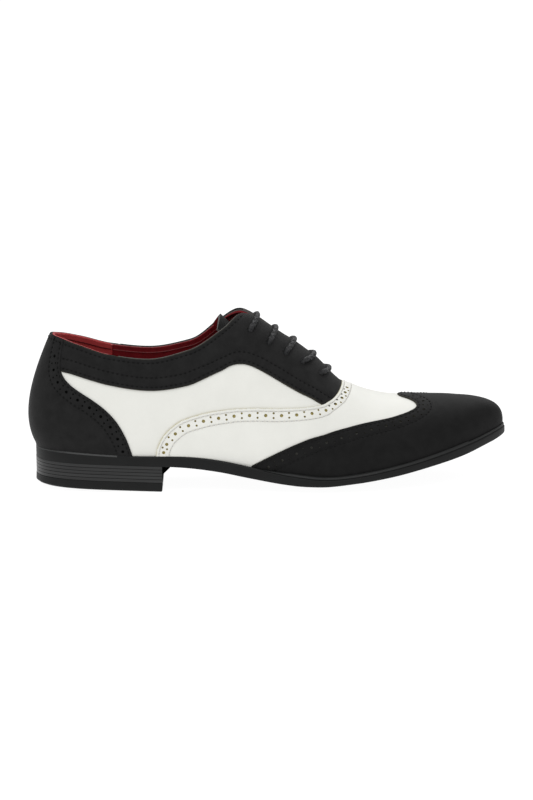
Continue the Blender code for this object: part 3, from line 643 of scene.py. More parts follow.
def crossing(first: np.ndarray, second: np.ndarray) -> tuple[float, float]:
    """Where two polylines of the flat pattern cross.

    Args:
        first: points of one line.
        second: points of the other.

    Returns:
        The place along each, as the number of its point and a share of the way to the next.
    """
    a, b = first[:-1, None], second[None, :-1]
    run, other = np.diff(first, axis=0)[:, None], np.diff(second, axis=0)[None]
    across = run[..., 0] * other[..., 1] - run[..., 1] * other[..., 0]
    across = np.where(np.abs(across) < 1e-12, np.inf, across)
    gap = b - a
    t = (gap[..., 0] * other[..., 1] - gap[..., 1] * other[..., 0]) / across
    s = (gap[..., 0] * run[..., 1] - gap[..., 1] * run[..., 0]) / across
    found = np.argwhere((t >= 0.0) & (t < 1.0) & (s >= 0.0) & (s < 1.0) & np.isfinite(across))
    if len(found) == 0:
        raise ValueError("two edges of a leather piece don't cross")
    i, j = found[0]
    return float(i + t[i, j]), float(j + s[i, j])


def stretch(flat: np.ndarray, start: float, end: float, clear: float = 0.02) -> np.ndarray:
    """Part of a polyline, without its last point.

    Args:
        flat: points of the line.
        start: place where the part begins, as the number of a point and a share of the way to the next.
        end: place where it ends, before or after the start.
        clear: room kept to both places, as a share of a step.

    Returns:
        Points of the part.
    """
    numbers = np.arange(len(flat))
    inside = numbers[(numbers > min(start, end) + clear) & (numbers < max(start, end) - clear)]
    stops = np.concatenate([[start], inside if start < end else inside[::-1]])
    return np.stack([np.interp(stops, numbers, flat[:, axis]) for axis in range(2)], -1)


def outline_of(edges: list[Trace]) -> np.ndarray:
    """Closed outline from a ring of edges, each cut where it crosses its neighbours.

    Args:
        edges: the edges in order round the piece.

    Returns:
        Points of the outline in the flat pattern.
    """
    count = len(edges)
    corners = [crossing(edges[i].flat, edges[(i + 1) % count].flat) for i in range(count)]
    loop = [stretch(edges[i].flat, corners[i - 1][1], corners[i][0]) for i in range(count)]
    outline = np.vstack(loop)
    for axis, limit in ((0, LAST.half), (1, FLAT_HEIGHT)):
        for line in (0.0, limit):
            outline[np.abs(outline[:, axis] - line) < 1e-6, axis] = line
    return outline


def inside_loop(points: np.ndarray, loop: np.ndarray) -> np.ndarray:
    """Which points lie inside a closed loop.

    Args:
        points: points in the flat pattern.
        loop: points of the loop.

    Returns:
        True or False for each point.
    """
    ahead = np.roll(loop, -1, axis=0)
    x, y = points[:, :1], points[:, 1:]
    crosses = (loop[:, 1] > y) != (ahead[:, 1] > y)
    rise = np.where(ahead[:, 1] == loop[:, 1], 1.0, ahead[:, 1] - loop[:, 1])
    reach = (ahead[:, 0] - loop[:, 0]) * (y - loop[:, 1]) / rise + loop[:, 0]
    return (np.sum(crosses & (x < reach), axis=1) % 2).astype(bool)


class Nearness:
    """Distance to a set of points, and which of them is nearest."""

    def __init__(self, points: np.ndarray) -> None:
        """Sort the points for quick search."""
        self.tree = KDTree(len(points))
        for number, point in enumerate(points):
            self.tree.insert(point, number)
        self.tree.balance()

    def __call__(self, points: np.ndarray) -> tuple[np.ndarray, np.ndarray]:
        """Distance and number of the nearest point for each of the given ones."""
        found = [self.tree.find(point) for point in points]
        return np.array([hit[2] for hit in found]), np.array([hit[1] for hit in found])


def linear(colour: str) -> tuple[float, float, float, float]:
    """An sRGB hex colour such as "#2b2b2c" as linear red, green, blue and alpha."""
    parts = [int(colour[start:start + 2], 16) / 255.0 for start in (1, 3, 5)]
    red, green, blue = (p / 12.92 if p <= 0.04045 else ((p + 0.055) / 1.055) ** 2.4 for p in parts)
    return red, green, blue, 1.0


def add_node(tree: bpy.types.NodeTree, kind: str, settings: dict[Any, Any],
             links: dict[Any, bpy.types.NodeSocket]) -> bpy.types.Node:
    """Add one node to a tree.

    Args:
        tree: the material's node tree.
        kind: the node's type name.
        settings: values of inputs, by name or number, or of the node's own properties.
        links: sockets that feed inputs, by the input's name or number.

    Returns:
        The new node.
    """
    node = tree.nodes.new(kind)
    for key, value in settings.items():
        if isinstance(key, int) or key in node.inputs:
            node.inputs[key].default_value = value
        else:
            setattr(node, key, value)
    for key, socket in links.items():
        tree.links.new(socket, node.inputs[key])
    return node


def per_metre(size_mm: float) -> float:
    """Texture scale at which one cell of a pattern is size_mm wide."""
    return 1.0 / (size_mm * MM)


@dataclass(frozen=True)
class Finish:
    """A matte surface with two close tones in soft patches and a fine grain.

    Sizes are in mm; grain_depth is how far the grain stands up, in mm. Real nap and pores are finer
    than the grain here, which is drawn as coarse as it needs to be to show.
    """

    name: str
    tone: str
    second_tone: str
    roughness: float
    patch: float = 9.0
    grain: float = 0.9
    grain_depth: float = 0.05
    specular: float = 0.5
    sheen: float = 0.0
    sheen_tone: str = "#ffffff"
    sheen_roughness: float = 0.5
    glow: float = 0.0
    cells: bool = False
    squeeze: tuple[float, float, float] = (1.0, 1.0, 1.0)

    def material(self) -> bpy.types.Material:
        """The finish as a material, made once."""
        known = bpy.data.materials.get(self.name)
        if known:
            return known
        material = bpy.data.materials.new(self.name)
        material.use_nodes = True
        tree = material.node_tree
        tree.nodes.clear()
        place = add_node(tree, "ShaderNodeTexCoord", {}, {})
        spread = add_node(
            tree, "ShaderNodeMapping", {"Scale": self.squeeze}, {"Vector": place.outputs["Object"]})
        patches = add_node(
            tree, "ShaderNodeTexNoise", {"Scale": per_metre(self.patch), "Detail": 3.0, "Roughness": 0.6},
            {"Vector": spread.outputs["Vector"]})
        contrast = add_node(
            tree, "ShaderNodeMapRange", {"From Min": 0.3, "From Max": 0.7}, {"Value": patches.outputs["Fac"]})
        tone = add_node(
            tree, "ShaderNodeMix", {"data_type": "RGBA", 6: linear(self.tone), 7: linear(self.second_tone)},
            {0: contrast.outputs["Result"]})
        shader = add_node(tree, "ShaderNodeBsdfPrincipled", {
            "Roughness": self.roughness,
            "Specular IOR Level": self.specular,
            "Sheen Weight": self.sheen,
            "Sheen Roughness": self.sheen_roughness,
            "Sheen Tint": linear(self.sheen_tone),
            "Emission Color": linear("#ffffff"),
            "Emission Strength": self.glow,
        }, {"Base Color": tone.outputs[2], "Normal": self.relief(tree, spread.outputs["Vector"])})
        add_node(tree, "ShaderNodeOutputMaterial", {}, {"Surface": shader.outputs["BSDF"]})
        return material

    def relief(self, tree: bpy.types.NodeTree, place: bpy.types.NodeSocket) -> bpy.types.NodeSocket:
        """Bump of the grain: round cells like pored hide, or an even fuzz like nap.

        Args:
            tree: the material's node tree.
            place: socket that gives the place on the surface.

        Returns:
            Socket that gives the bumped normal.
        """
        if self.cells:
            grain = add_node(
                tree, "ShaderNodeTexVoronoi", {"feature": "SMOOTH_F1", "Scale": per_metre(self.grain)},
                {"Vector": place}).outputs["Distance"]
        else:
            grain = add_node(
                tree, "ShaderNodeTexNoise", {"Scale": per_metre(self.grain), "Detail": 4.0},
                {"Vector": place}).outputs["Fac"]
        bump = add_node(
            tree, "ShaderNodeBump", {"Strength": 1.0, "Distance": self.grain_depth * MM}, {"Height": grain})
        return bump.outputs["Normal"]


# Black buffed leather: a short nap that scatters light, so it is dull and greys where seen edge on.
BLACK_NUBUCK = Finish(
    "black_nubuck_leather", "#141414", "#1d1d1d", 0.66, patch=7.0, grain=0.7, grain_depth=0.05,
    specular=0.14, sheen=0.03, sheen_tone="#d8d8d8", sheen_roughness=0.4)
# White coated leather: an even, smooth skin with very fine pores and a low silky shine.
WHITE_CALF = Finish(
    "white_smooth_leather", "#e9e9e3", "#e5e5df", 0.5, patch=16.0, grain=1.0, grain_depth=0.03,
    specular=0.3, cells=True)
# The cut flesh side of the white leather, which shows as a tan line at edges and in punched holes.
TAN_EDGE = Finish("tan_cut_leather_edge", "#b9ac70", "#a1945f", 0.85, patch=1.5, grain=0.4, specular=0.2)
# The painted rim of the white leather: a thin cream line.
CREAM_RIM = Finish("cream_edge_paint", "#d8d5c0", "#cecbb4", 0.7, patch=2.0, grain=0.4, specular=0.2)
# The cut edge of the black leather: its undyed core shows as a thin line between grey and olive.
BLACK_EDGE = Finish("black_cut_leather_edge", "#36342b", "#2c2a23", 0.85, patch=1.5, grain=0.4, specular=0.2)
# The toe's black leather: the same nap, a shade deeper, which is painted shade for the dimmer light on the
# toe.
BLACK_TOE_NUBUCK = Finish(
    "black_toe_nubuck_painted_shade", "#131313", "#191919", 0.66, patch=7.0, grain=0.7, grain_depth=0.05,
    specular=0.1, sheen=0.036, sheen_tone="#d8d8d8", sheen_roughness=0.4)
# Near black floor of the holes punched in black leather: painted shade in the holes.
BLACK_PIT_SHADE = Finish("black_hole_floor_painted_shade", "#0d0d0d", "#111111", 0.95, patch=1.5, grain=0.4, specular=0.0)
# Grey floor of the toe's holes, a little satin: a painted highlight, the glint seen in each hole.
TOE_PIT_GLINT = Finish("grey_hole_floor_painted_glint", "#302f29", "#26251f", 0.5, patch=1.5, grain=0.4, specular=0.4)
# The raw topline: the cut shows the pale core of the leather as a thin grey line.
# The same grey on the studs in the needle holes is painted shade.
GREY_EDGE_AND_HOLE_SHADE = Finish("grey_cut_edge_and_hole_shade", "#504f4d", "#5d5c5a", 0.8, patch=2.0, grain=0.4, specular=0.25)
# Red lining: dyed leather with open pores, so it is matte and looks deep.
RED_LINING = Finish(
    "red_pored_lining_leather", "#6c171c", "#7e1d24", 0.66, patch=4.0, grain=1.2, grain_depth=0.10,
    specular=0.14, cells=True)
# Red heel grip: the smoother, lighter piece of lining behind the heel.
RED_HEEL_GRIP = Finish(
    "red_heel_lining_leather", "#ba4748", "#ae3f41", 0.55, patch=8.0, grain=0.8, grain_depth=0.05,
    specular=0.4, cells=True)
# Moulded black rubber: deep, even and satin.
BLACK_RUBBER = Finish(
    "black_moulded_rubber", "#090a0a", "#0d0e0e", 0.55, patch=12.0, grain=0.8, grain_depth=0.02,
    specular=0.22)
# The front of the heel: no shine and near black, painted shade, so it stays black beside the bright floor.
HEEL_BREAST = Finish(
    "black_heel_breast_painted_shade", "#060606", "#080808", 0.95, patch=6.0, grain=0.6, grain_depth=0.02,
    specular=0.0)
# The bevel of the sole's upper rim round the heel: smoother than the rubber, and paler: a painted highlight.
SOLE_RIM_HIGHLIGHT = Finish(
    "black_sole_rim_painted_highlight", "#303131", "#393a3a", 0.42, patch=9.0, grain=0.6, grain_depth=0.02, specular=0.4)
# The welt leather: darker than the rim, yet paler than the rubber: painted highlight on its bevel.
WELT_HIGHLIGHT = Finish(
    "black_waxed_welt_leather", "#171818", "#1d1e1e", 0.45, patch=9.0, grain=0.6, grain_depth=0.02,
    specular=0.3)
# Stacked heel: pressed layers, polished, each with long level streaks of grey.
STACKED_HEEL = Finish(
    "black_stacked_heel_board", "#101010", "#222323", 0.36, patch=40.0, grain=6.0, grain_depth=0.02,
    specular=0.42, squeeze=(1.0, 1.0, 24.0))
# Waxed cotton cord: dull with a faint gloss from the wax.
WAXED_CORD = Finish(
    "waxed_cotton_cord", "#131314", "#29292b", 0.55, patch=1.2, grain=0.5, grain_depth=0.06, specular=0.3)
# Sizes of the twist of bonded sewing thread.
TWIST = {"patch": 0.8, "grain": 0.3, "grain_depth": 0.03}
# Black thread: dull, a shade below the black leather.
BLACK_THREAD = Finish("black_bonded_thread", "#0c0c0c", "#111111", 0.6, specular=0.1, **TWIST)
# White thread: greyed a little, so that its stitches show on the white leather.
WHITE_THREAD = Finish("white_bonded_thread", "#d9d7cf", "#cbc9bf", 0.6, **TWIST)
# Grey tube sunk in the troughs of the white seams: painted shade of each groove, a thin soft line.
SEAM_SHADE_GREY = Finish(
    "grey_painted_seam_shade", "#c9c8c5", "#bdbcb9", 0.9, patch=5.0, grain=0.4, grain_depth=0.03, specular=0.0)
# Satin black thread of the toe: it catches more light than the matte thread.
TOE_THREAD = Finish("black_satin_thread", "#0e0e0e", "#131313", 0.6, specular=0.15, **TWIST)
# Dark red thread of the heel lining: a shade below the leather round it, painted shade on the lining seam.
RED_SEAM = Finish(
    "dark_red_thread_painted_shade", "#4c0f12", "#420c0f", 0.7, patch=2.0, grain=0.5, grain_depth=0.03, specular=0.1)
# Rose thread along the front lining: a faint pale line on the dark red, painted highlight on the same seam.
ROSE_THREAD = Finish("rose_thread_painted_highlight", "#7e3335", "#722c2e", 0.6, **TWIST)


def add_mesh(name: str, points: np.ndarray, faces: list, finishes: tuple[Finish, ...],
             kinds: np.ndarray | None = None, sharp: float = 42.0) -> bpy.types.Object:
    """Make one piece from points counted from the back of the heel.

    Args:
        name: the piece's name.
        points: places in mm; those that no face uses are dropped.
        faces: tuples of point numbers.
        finishes: the piece's finishes, the main one first.
        kinds: number of the finish of each face.
        sharp: edges that turn by more degrees than this stay crisp.

    Returns:
        The new object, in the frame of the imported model.
    """
    mesh = bpy.data.meshes.new(name)
    used = np.unique(np.concatenate([np.asarray(face) for face in faces]))
    place = np.zeros(len(points), dtype=int)
    place[used] = np.arange(len(used))
    moved = (points[used] - [MIDDLE_X, MIDDLE_Y, 0.0]) * MM
    mesh.from_pydata(moved.tolist(), [], [place[list(face)].tolist() for face in faces])
    for finish in finishes:
        mesh.materials.append(finish.material())
    if kinds is not None:
        mesh.polygons.foreach_set("material_index", np.asarray(kinds, dtype=np.int32))
    mesh.polygons.foreach_set("use_smooth", np.ones(len(mesh.polygons), dtype=bool))
    mesh.set_sharp_from_angle(angle=math.radians(sharp))
    mesh.update()
    piece = bpy.data.objects.new(name, mesh)
    bpy.context.scene.collection.objects.link(piece)
    return piece


def ring_faces(rings: int, corners: int, first: int = 0, turned: bool = False) -> list[tuple[int, ...]]:
    """Faces of a solid whose points are rings, one after the other.

    Args:
        rings: number of rings.
        corners: points to a ring.
        first: number of the first ring's first point.
        turned: True where the rings run the other way round.

    Returns:
        The sides, ring by ring, and then the caps of the first and the last ring.
    """
    faces = []
    for low in range(first, first + (rings - 1) * corners, corners):
        high = low + corners
        for i in range(corners):
            j = (i + 1) % corners
            side = (low + i, low + j, high + j, high + i)
            faces.append((side[1], side[0], side[3], side[2]) if turned else side)
    end = first + (rings - 1) * corners
    caps = [tuple(range(first + corners - 1, first - 1, -1)), tuple(range(end, end + corners))]
    return faces + [cap[::-1] if turned else cap for cap in caps]


def hand_over(piece: bpy.types.Object, slot: str, *nodes: str) -> None:
    """Tie a piece to the shoe's one body.

    Args:
        piece: the piece.
        slot: its material slot, which is not used.
        nodes: the solids that it stands for.
    """
    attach(piece, "root")
    if nodes:
        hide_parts(*nodes)
    LOG.info("%s: %d faces", piece.name, len(piece.data.polygons))


# One stitch as rings from end to end: place on its half length, and girth and rise in thread radii.
BEAD = (
    (-1.0, 0.35, -0.55), (-0.82, 0.85, -0.2), (-0.4, 1.0, 0.05), (0.4, 1.0, 0.05), (0.82, 0.85, -0.2),
    (1.0, 0.35, -0.55),
)
BEAD_CORNERS = 6


@dataclass
class Leather:
    """A piece of leather on the last: a closed sheet with cut edges, punched holes and stitch rows.

    Lifts are distances from the last's skin, in mm.
    """

    name: str
    slot: str
    nodes: tuple[str, ...]
    finish: Finish
    edge_finish: Finish
    strip_finish: Finish
    pit_finish: Finish
    thread: Finish
    lift_out: float = 0.0
    lift_in: float = -1.1
    sides: tuple[Side, ...] = BOTH
    bridged: bool = False
    lattice: float = 1.7
    lattice_clear: float = 0.55
    guide_clear: float = 0.3
    profile_length: float = 96.0
    rounding: float = 0.35
    rounding_reach: float = 0.8
    edge_strip: float = 0.55
    edge_step: float = 0.4
    stitch_pitch: float = 3.1
    stitch_length: float = 1.5
    stitch_radius: float = 0.34
    stitch_trough: float = 0.2
    needle_dip: float = 0.22
    look_ahead: float = 0.4
    trough_reach: float = 0.6
    trough_step: float = 0.25
    seam_shade_finish: Finish | None = None
    seam_radius: float = 0.26
    seam_corners: int = 6
    prick_radius: float = 0.3
    prick_lift: float = -0.12
    prick_depth: float = 0.6
    prick_corners: int = 8
    pit_floor: float = -0.85
    pit_depth: float = 0.2
    tuck: float = 0.8
    sewn: list[Trace] = field(default_factory=list)

    def columns(self) -> np.ndarray:
        """Ways along of the lattice."""
        return np.linspace(0.0, LAST.half, int(LAST.half / self.lattice))

    def rows(self) -> np.ndarray:
        """Ways up of the lattice."""
        return np.linspace(0.0, 1.0, int(self.profile_length / self.lattice))

    def sole_line(self, side: Side) -> Trace:
        """The lasted edge, under which the sole begins."""
        return Trace.level(side, 0.0, self.columns(), False)

    def top_line(self, side: Side, cut: bool = True) -> Trace:
        """The collar, the lacing slit and the ridge of the forefoot."""
        return Trace.level(side, FLAT_HEIGHT, self.columns(), cut)

    def edges(self, side: Side) -> list[Trace]:
        """The ring of edges that bound the piece on one side."""
        raise NotImplementedError

    def stitches(self, side: Side) -> list[Trace]:
        """The rows of stitching on one side."""
        return []

    def pricked(self, side: Side) -> list[Trace]:
        """The rows of stitching whose needle holes show, on one side."""
        return []

    def holes(self, side: Side) -> list[tuple[Pit, np.ndarray]]:
        """Holes on one side, as what they go through and a loop in the flat pattern."""
        return []

    def shape(self, side: Side, flat: np.ndarray, places: np.ndarray) -> np.ndarray:
        """Rise and fall of the piece's own form, added to its outer lift.

        Args:
            side: side of the last.
            flat: points in the flat pattern.
            places: the same points on the last's skin.

        Returns:
            One lift per point, in mm.
        """
        return np.zeros(len(flat))

    def build(self) -> None:
        """Make the piece and its stitching, and tie them to the shoe."""
        hand_over(self.sheet([self.half(side) for side in self.sides]), self.slot, *self.nodes)
        if self.sewn:
            hand_over(self.thread_mesh(), self.slot)
        # A grey tube in each seam's trough: painted shade.
        if self.seam_shade_finish:
            self.build_seam_shades(self.seam_shade_finish)
        pricks = [row for side in self.sides for row in self.pricked(side)]
        if pricks:
            hand_over(self.prick_mesh(pricks), self.slot)

    def half(self, side: Side) -> dict[str, np.ndarray]:
        """The piece on one side of the last.

        Args:
            side: side of the last.

        Returns:
            Places, normals and outer lifts of its points, whether each is near a cut edge, its
            triangles, and whether each lies in a punched hole.
        """
        edges = self.edges(side)
        outline = outline_of(edges)
        holes = self.holes(side)
        sewn = self.stitches(side)
        self.sewn += sewn
        loops = [outline] + [loop for _, loop in holes]
        extra = self.guide_points(outline, edges, sewn)
        grid = np.array([(a, r * FLAT_HEIGHT) for a in self.columns() for r in self.rows()])
        grid = grid[inside_loop(grid, outline)]
        points = np.vstack(loops + [self.thinned(side, loops, extra, grid)])
        ends = []
        first = 0
        for loop in loops:
            count = len(loop)
            ends += [(first + i, first + (i + 1) % count) for i in range(count)]
            first += count
        result = delaunay_2d_cdt([Vector(p) for p in points], ends, [], 1, 1e-5)
        flat = points[[same[0] for same in result[3]]]
        triangles = np.array(result[2])
        centres = flat[triangles].mean(axis=1)
        triangles, centres = (values[inside_loop(centres, outline)] for values in (triangles, centres))
        inside = np.full(len(triangles), -1)
        for number, (_, loop) in enumerate(holes):
            near = np.all(np.abs(centres - loop.mean(axis=0)) < np.ptp(loop, axis=0), axis=1)
            index = np.flatnonzero(near)
            inside[index[inside_loop(centres[index], loop)]] = number
        through = np.array([kind is Pit.THROUGH for kind, _ in holes] + [False])
        keep = ~through[inside]
        triangles, inside = triangles[keep], inside[keep]
        if side is Side.MEDIAL:
            triangles = triangles[:, ::-1]
        up = way_up(flat)
        places = LAST.point(side, flat[:, 0], up)
        normals = LAST.normal(side, flat[:, 0], up)
        if self.bridged:
            ridge = up == 1.0
            places[ridge, 1] = LAST.same["top_y"](LAST.loop_at(side, flat[ridge, 0]))
        gap = self.edge_gap(places, edges)
        lifts = self.lift_out + self.shape(side, flat, places) + self.worked(places, gap, sewn)
        places[flat[:, 1] == 0.0, 2] -= self.tuck
        return {"places": places, "normals": normals, "lifts": lifts, "triangles": triangles,
                "pits": inside >= 0, "near": gap < self.edge_strip}

    def guide_points(self, outline: np.ndarray, edges: list[Trace], sewn: list[Trace]) -> np.ndarray:
        """Points that carry the rounding of cut edges and the troughs of stitch rows.

        Args:
            outline: outline of the piece in the flat pattern.
            edges: the ring of its edges.
            sewn: its rows of stitching.

        Returns:
            Points in the flat pattern, inside the outline.
        """
        lines = []
        for row in sewn:
            for reach, spacing in ((0.0, 0.75), (0.8, 1.5), (-0.8, 1.5)):
                lines.append(row.offset(reach).spaced(spacing).flat)
        for edge in edges:
            if edge.cut:
                for reach in (0.5, -0.5, 1.1, -1.1):
                    lines.append(edge.offset(reach).spaced(1.2).flat)
        if not lines:
            return np.zeros((0, 2))
        points = np.vstack(lines)
        return points[inside_loop(points, outline)]

    def thinned(self, side: Side, loops: list[np.ndarray], extra: np.ndarray, grid: np.ndarray) -> np.ndarray:
        """Guide points and lattice points that keep clear of what is already there.

        Args:
            side: side of the last.
            loops: outline and holes, whose points all stay.
            extra: guide points.
            grid: lattice points.

        Returns:
            The points that are kept, in the flat pattern.
        """
        taken = np.vstack(loops)
        kept = []
        for points, clear in ((extra, self.guide_clear), (grid, self.lattice_clear * self.lattice)):
            if len(points) == 0:
                continue
            near = Nearness(LAST.point(side, taken[:, 0], way_up(taken)))
            gap, _ = near(LAST.point(side, points[:, 0], way_up(points)))
            points = points[gap > clear]
            kept.append(points)
            taken = np.vstack([taken, points])
        return np.vstack(kept)

    def edge_gap(self, places: np.ndarray, edges: list[Trace]) -> np.ndarray:
        """Distance of each place to the nearest cut edge, in mm."""
        cut = [edge.clipped().spaced(self.edge_step).places() for edge in edges if edge.cut]
        return Nearness(np.vstack(cut))(places)[0] if cut else np.full(len(places), np.inf)

    def worked(self, places: np.ndarray, gap: np.ndarray, sewn: list[Trace]) -> np.ndarray:
        """Lift from the maker's hand: rounded cut edges, and troughs where thread pulls the leather in.

        Args:
            places: points on the last's skin.
            gap: distance of each to the nearest cut edge, in mm.
            sewn: rows of stitching.

        Returns:
            One lift per place, in mm.
        """
        lift = -self.rounding * np.clip(1.0 - gap / self.rounding_reach, 0.0, 1.0) ** 2
        for row in sewn:
            stops = row.spaced(self.trough_step)
            away, number = Nearness(stops.places())(places)
            beat = np.cos(math.pi * number * self.trough_step / self.stitch_pitch) ** 8
            depth = self.stitch_trough + self.needle_dip * beat
            lift -= depth * np.exp(-(away / self.trough_reach) ** 2)
        return lift

    def sheet(self, halves: list[dict[str, np.ndarray]]) -> bpy.types.Object:
        """Join the halves where they meet and close the sheet.

        Args:
            halves: what half() gives for each side.

        Returns:
            The new object.
        """
        places = np.vstack([half["places"] for half in halves])
        first = np.cumsum([0] + [len(half["places"]) for half in halves])
        triangles = np.vstack([half["triangles"] + start for half, start in zip(halves, first)])
        pits = np.concatenate([half["pits"] for half in halves])
        _, keep, index = np.unique(np.round(places, 3), axis=0, return_index=True, return_inverse=True)
        index = index.reshape(-1)
        normals = np.zeros((len(keep), 3))
        np.add.at(normals, index, np.vstack([half["normals"] for half in halves]))
        normals /= np.linalg.norm(normals, axis=1, keepdims=True)
        lifts, near = (np.concatenate([half[name] for half in halves])[keep] for name in ("lifts", "near"))
        places = places[keep]
        triangles = index[triangles]
        whole = (np.diff(np.sort(triangles, axis=1), axis=1) > 0).all(axis=1)
        triangles, pits = triangles[whole], pits[whole]
        count = len(places)
        floor = np.minimum(self.pit_floor + self.lift_out, lifts - self.pit_depth)
        points = np.vstack([
            places + normals * lifts[:, None], places + normals * self.lift_in,
            places + normals * floor[:, None],
        ])
        skin, sunk = triangles[~pits], triangles[pits]
        rim = open_ways(skin)
        outer = open_ways(triangles)
        walls = rim - outer
        faces = [tuple(t) for t in skin]
        faces += [tuple(t[::-1] + count) for t in triangles]
        faces += [tuple(t + 2 * count) for t in sunk]
        faces += [(b, a, a + count, b + count) for a, b in sorted(outer)]
        faces += [(b, a, a + 2 * count, b + 2 * count) for a, b in sorted(walls)]
        kinds = np.concatenate([
            3.0 * near[skin].all(axis=1), np.zeros(len(triangles)), np.full(len(sunk), 2.0),
            np.ones(len(outer) + len(walls)),
        ])
        finishes = (self.finish, self.edge_finish, self.pit_finish, self.strip_finish)
        return add_mesh(self.name, points, faces, finishes, kinds)

    def thread_mesh(self) -> bpy.types.Object:
        """Every stitch of the piece as a short bead of thread that dives into the leather at both ends."""
        turns = full_turn(BEAD_CORNERS)
        points, faces = [], []
        for row in self.sewn:
            first = self.stitch_pitch / 2.0
            stops = row.spaced(self.stitch_pitch, first)
            ahead = row.at(np.arange(len(stops.flat)) * self.stitch_pitch + first + self.look_ahead)
            middle, out = stops.places(), stops.normals()
            run = Trace(row.side, ahead).places() - middle
            length = np.linalg.norm(run, axis=1, keepdims=True)
            good = length[:, 0] > 0.1
            middle, out, run = middle[good], out[good], run[good] / length[good]
            across = np.cross(out, run)
            lift = self.lift_out - self.stitch_trough * 0.6 + self.stitch_radius * 0.35
            for centre, up, way, wide in zip(middle, out, run, across):
                start = len(points)
                for share, girth, drop in BEAD:
                    ring = centre + way * share * self.stitch_length / 2.0
                    ring = ring + up * (lift + drop * self.stitch_radius)
                    for turn in turns:
                        reach = wide * math.cos(turn) + up * math.sin(turn)
                        points.append(ring + reach * self.stitch_radius * girth)
                faces += ring_faces(len(BEAD), BEAD_CORNERS, start)
        return add_mesh(f"{self.name}_stitching", np.array(points), faces, (self.thread,), sharp=80.0)

    def build_seam_shades(self, finish: Finish) -> None:
        """A thin tube in the trough of each seam: painted shade of the groove.

        Args:
            finish: the tube's finish.
        """
        for number, row in enumerate(self.sewn, start=1):
            stops = row.spaced(1.0)
            path = stops.places() + stops.normals() * (self.lift_out - self.stitch_trough)
            radii = np.full((len(path), self.seam_corners), self.seam_radius)
            hand_over(tube(f"{self.name}_seam_{number}", path, radii, finish), self.slot)

    def prick_mesh(self, rows: list[Trace]) -> bpy.types.Object:
        """The needle holes of some rows, as small dark studs sunk in the leather between the stitches:
        painted shade.

        Args:
            rows: the rows of stitching.

        Returns:
            The new object.
        """
        turns = full_turn(self.prick_corners)
        points, faces = [], []
        for row in rows:
            stops = row.spaced(self.stitch_pitch)
            for centre, out, way in zip(stops.places(), stops.normals(), stops.tangents()):
                wide = np.cross(out, way)
                faces += ring_faces(2, self.prick_corners, len(points), turned=True)
                for lift in (self.prick_lift, self.prick_lift - self.prick_depth):
                    spot = centre + out * (self.lift_out + lift)
                    ring = [math.cos(turn) * way + math.sin(turn) * wide for turn in turns]
                    points += [spot + self.prick_radius * reach for reach in ring]
        return add_mesh(f"{self.name}_needle_holes", np.array(points), faces, (GREY_EDGE_AND_HOLE_SHADE,), sharp=80.0)


def open_ways(triangles: np.ndarray) -> set[tuple[int, int]]:
    """Directed edges of triangles that no neighbour shares."""
    ways = set()
    for a, b in ((0, 1), (1, 2), (2, 0)):
        ways |= set(zip(triangles[:, a].tolist(), triangles[:, b].tolist()))
    return {(a, b) for a, b in ways if (b, a) not in ways}


@dataclass(frozen=True)
class Brogue:
    """The punched band along a leather edge: large holes with pairs of small ones between, and two seams.

    Distances are in mm: in from the edge, or along the line of holes from the sole.
    """

    outer_seam: float = 1.8
    holes_in: float = 4.5
    inner_seam: float = 8.2
    pitch: float = 9.9
    first_hole: float = 2.1
    stops: tuple[float, ...] = ()
    large_radius: float = 1.2
    small_radius: float = 0.7
    large_corners: int = 12
    small_corners: int = 8
    pair_gap: float = 3.0
    spare: float = 2.4
    margin: float = 0.5
    seam_end: float = 0.006

    def seams(self, edge: Trace, inward: float) -> list[Trace]:
        """The two stitch rows; inward as for the holes."""
        rows = [edge.offset(inward * reach) for reach in (self.outer_seam, self.inner_seam)]
        return [row.clipped(self.seam_end, 1.0 - self.seam_end) for row in rows]

    def large_stops(self, length: float) -> np.ndarray:
        """Ways to the large holes: the given stops, or an even pitch."""
        stops = np.array(self.stops) if self.stops else np.arange(self.first_hole, length, self.pitch)
        return stops[stops < length - self.spare]

    def loops(self, edge: Trace, inward: float) -> list[tuple[Pit, np.ndarray]]:
        """The holes of the band.

        Args:
            edge: the leather edge that the band follows.
            inward: 1 for a piece on the edge's left and -1 on its right.

        Returns:
            What each hole goes through, and its loop in the flat pattern.
        """
        line = edge.offset(inward * self.holes_in).clipped()
        stops = self.large_stops(line.way()[-1])
        loops = []
        for centre in line.at(stops):
            loops.append(round_hole(line.side, centre, self.large_radius, self.large_corners))
        for shift in (self.pair_gap / 2.0, -self.pair_gap / 2.0):
            for stop in (stops[1:] + stops[:-1]) / 2.0:
                pair = Trace(line.side, line.at(stop + np.linspace(-0.4, 0.4, 5)))
                left = np.cross(pair.normals(), pair.tangents())[2] * -line.side.value * shift
                centre = pair.flat[2] + flat_steps(line.side, pair.flat[2:3], left[None])[0]
                loops.append(round_hole(line.side, centre, self.small_radius, self.small_corners))
        low, high = self.margin, FLAT_HEIGHT - self.margin
        return [(Pit.PUNCHED, loop) for loop in loops if loop[:, 1].min() > low and loop[:, 1].max() < high]


COUNTER_BROGUE = Brogue(
    holes_in=4.9, inner_seam=8.9, first_hole=2.0, pitch=9.05, large_radius=1.0, small_radius=0.58)
WING_BROGUE = Brogue(
    holes_in=5.7, inner_seam=9.6, first_hole=2.9, pitch=10.05, large_radius=0.9, small_radius=0.55)
# The vamp's band: its holes stand closer together near the sole and at the throat.
VAMP_BROGUE = Brogue(large_radius=1.08, stops=(
    2.1, 8.0, 16.9, 26.9, 36.8, 46.6, 56.5, 66.4, 76.7, 86.7, 96.3, 106.3, 116.6, 125.6, 133.4, 140.0, 146.6,
))


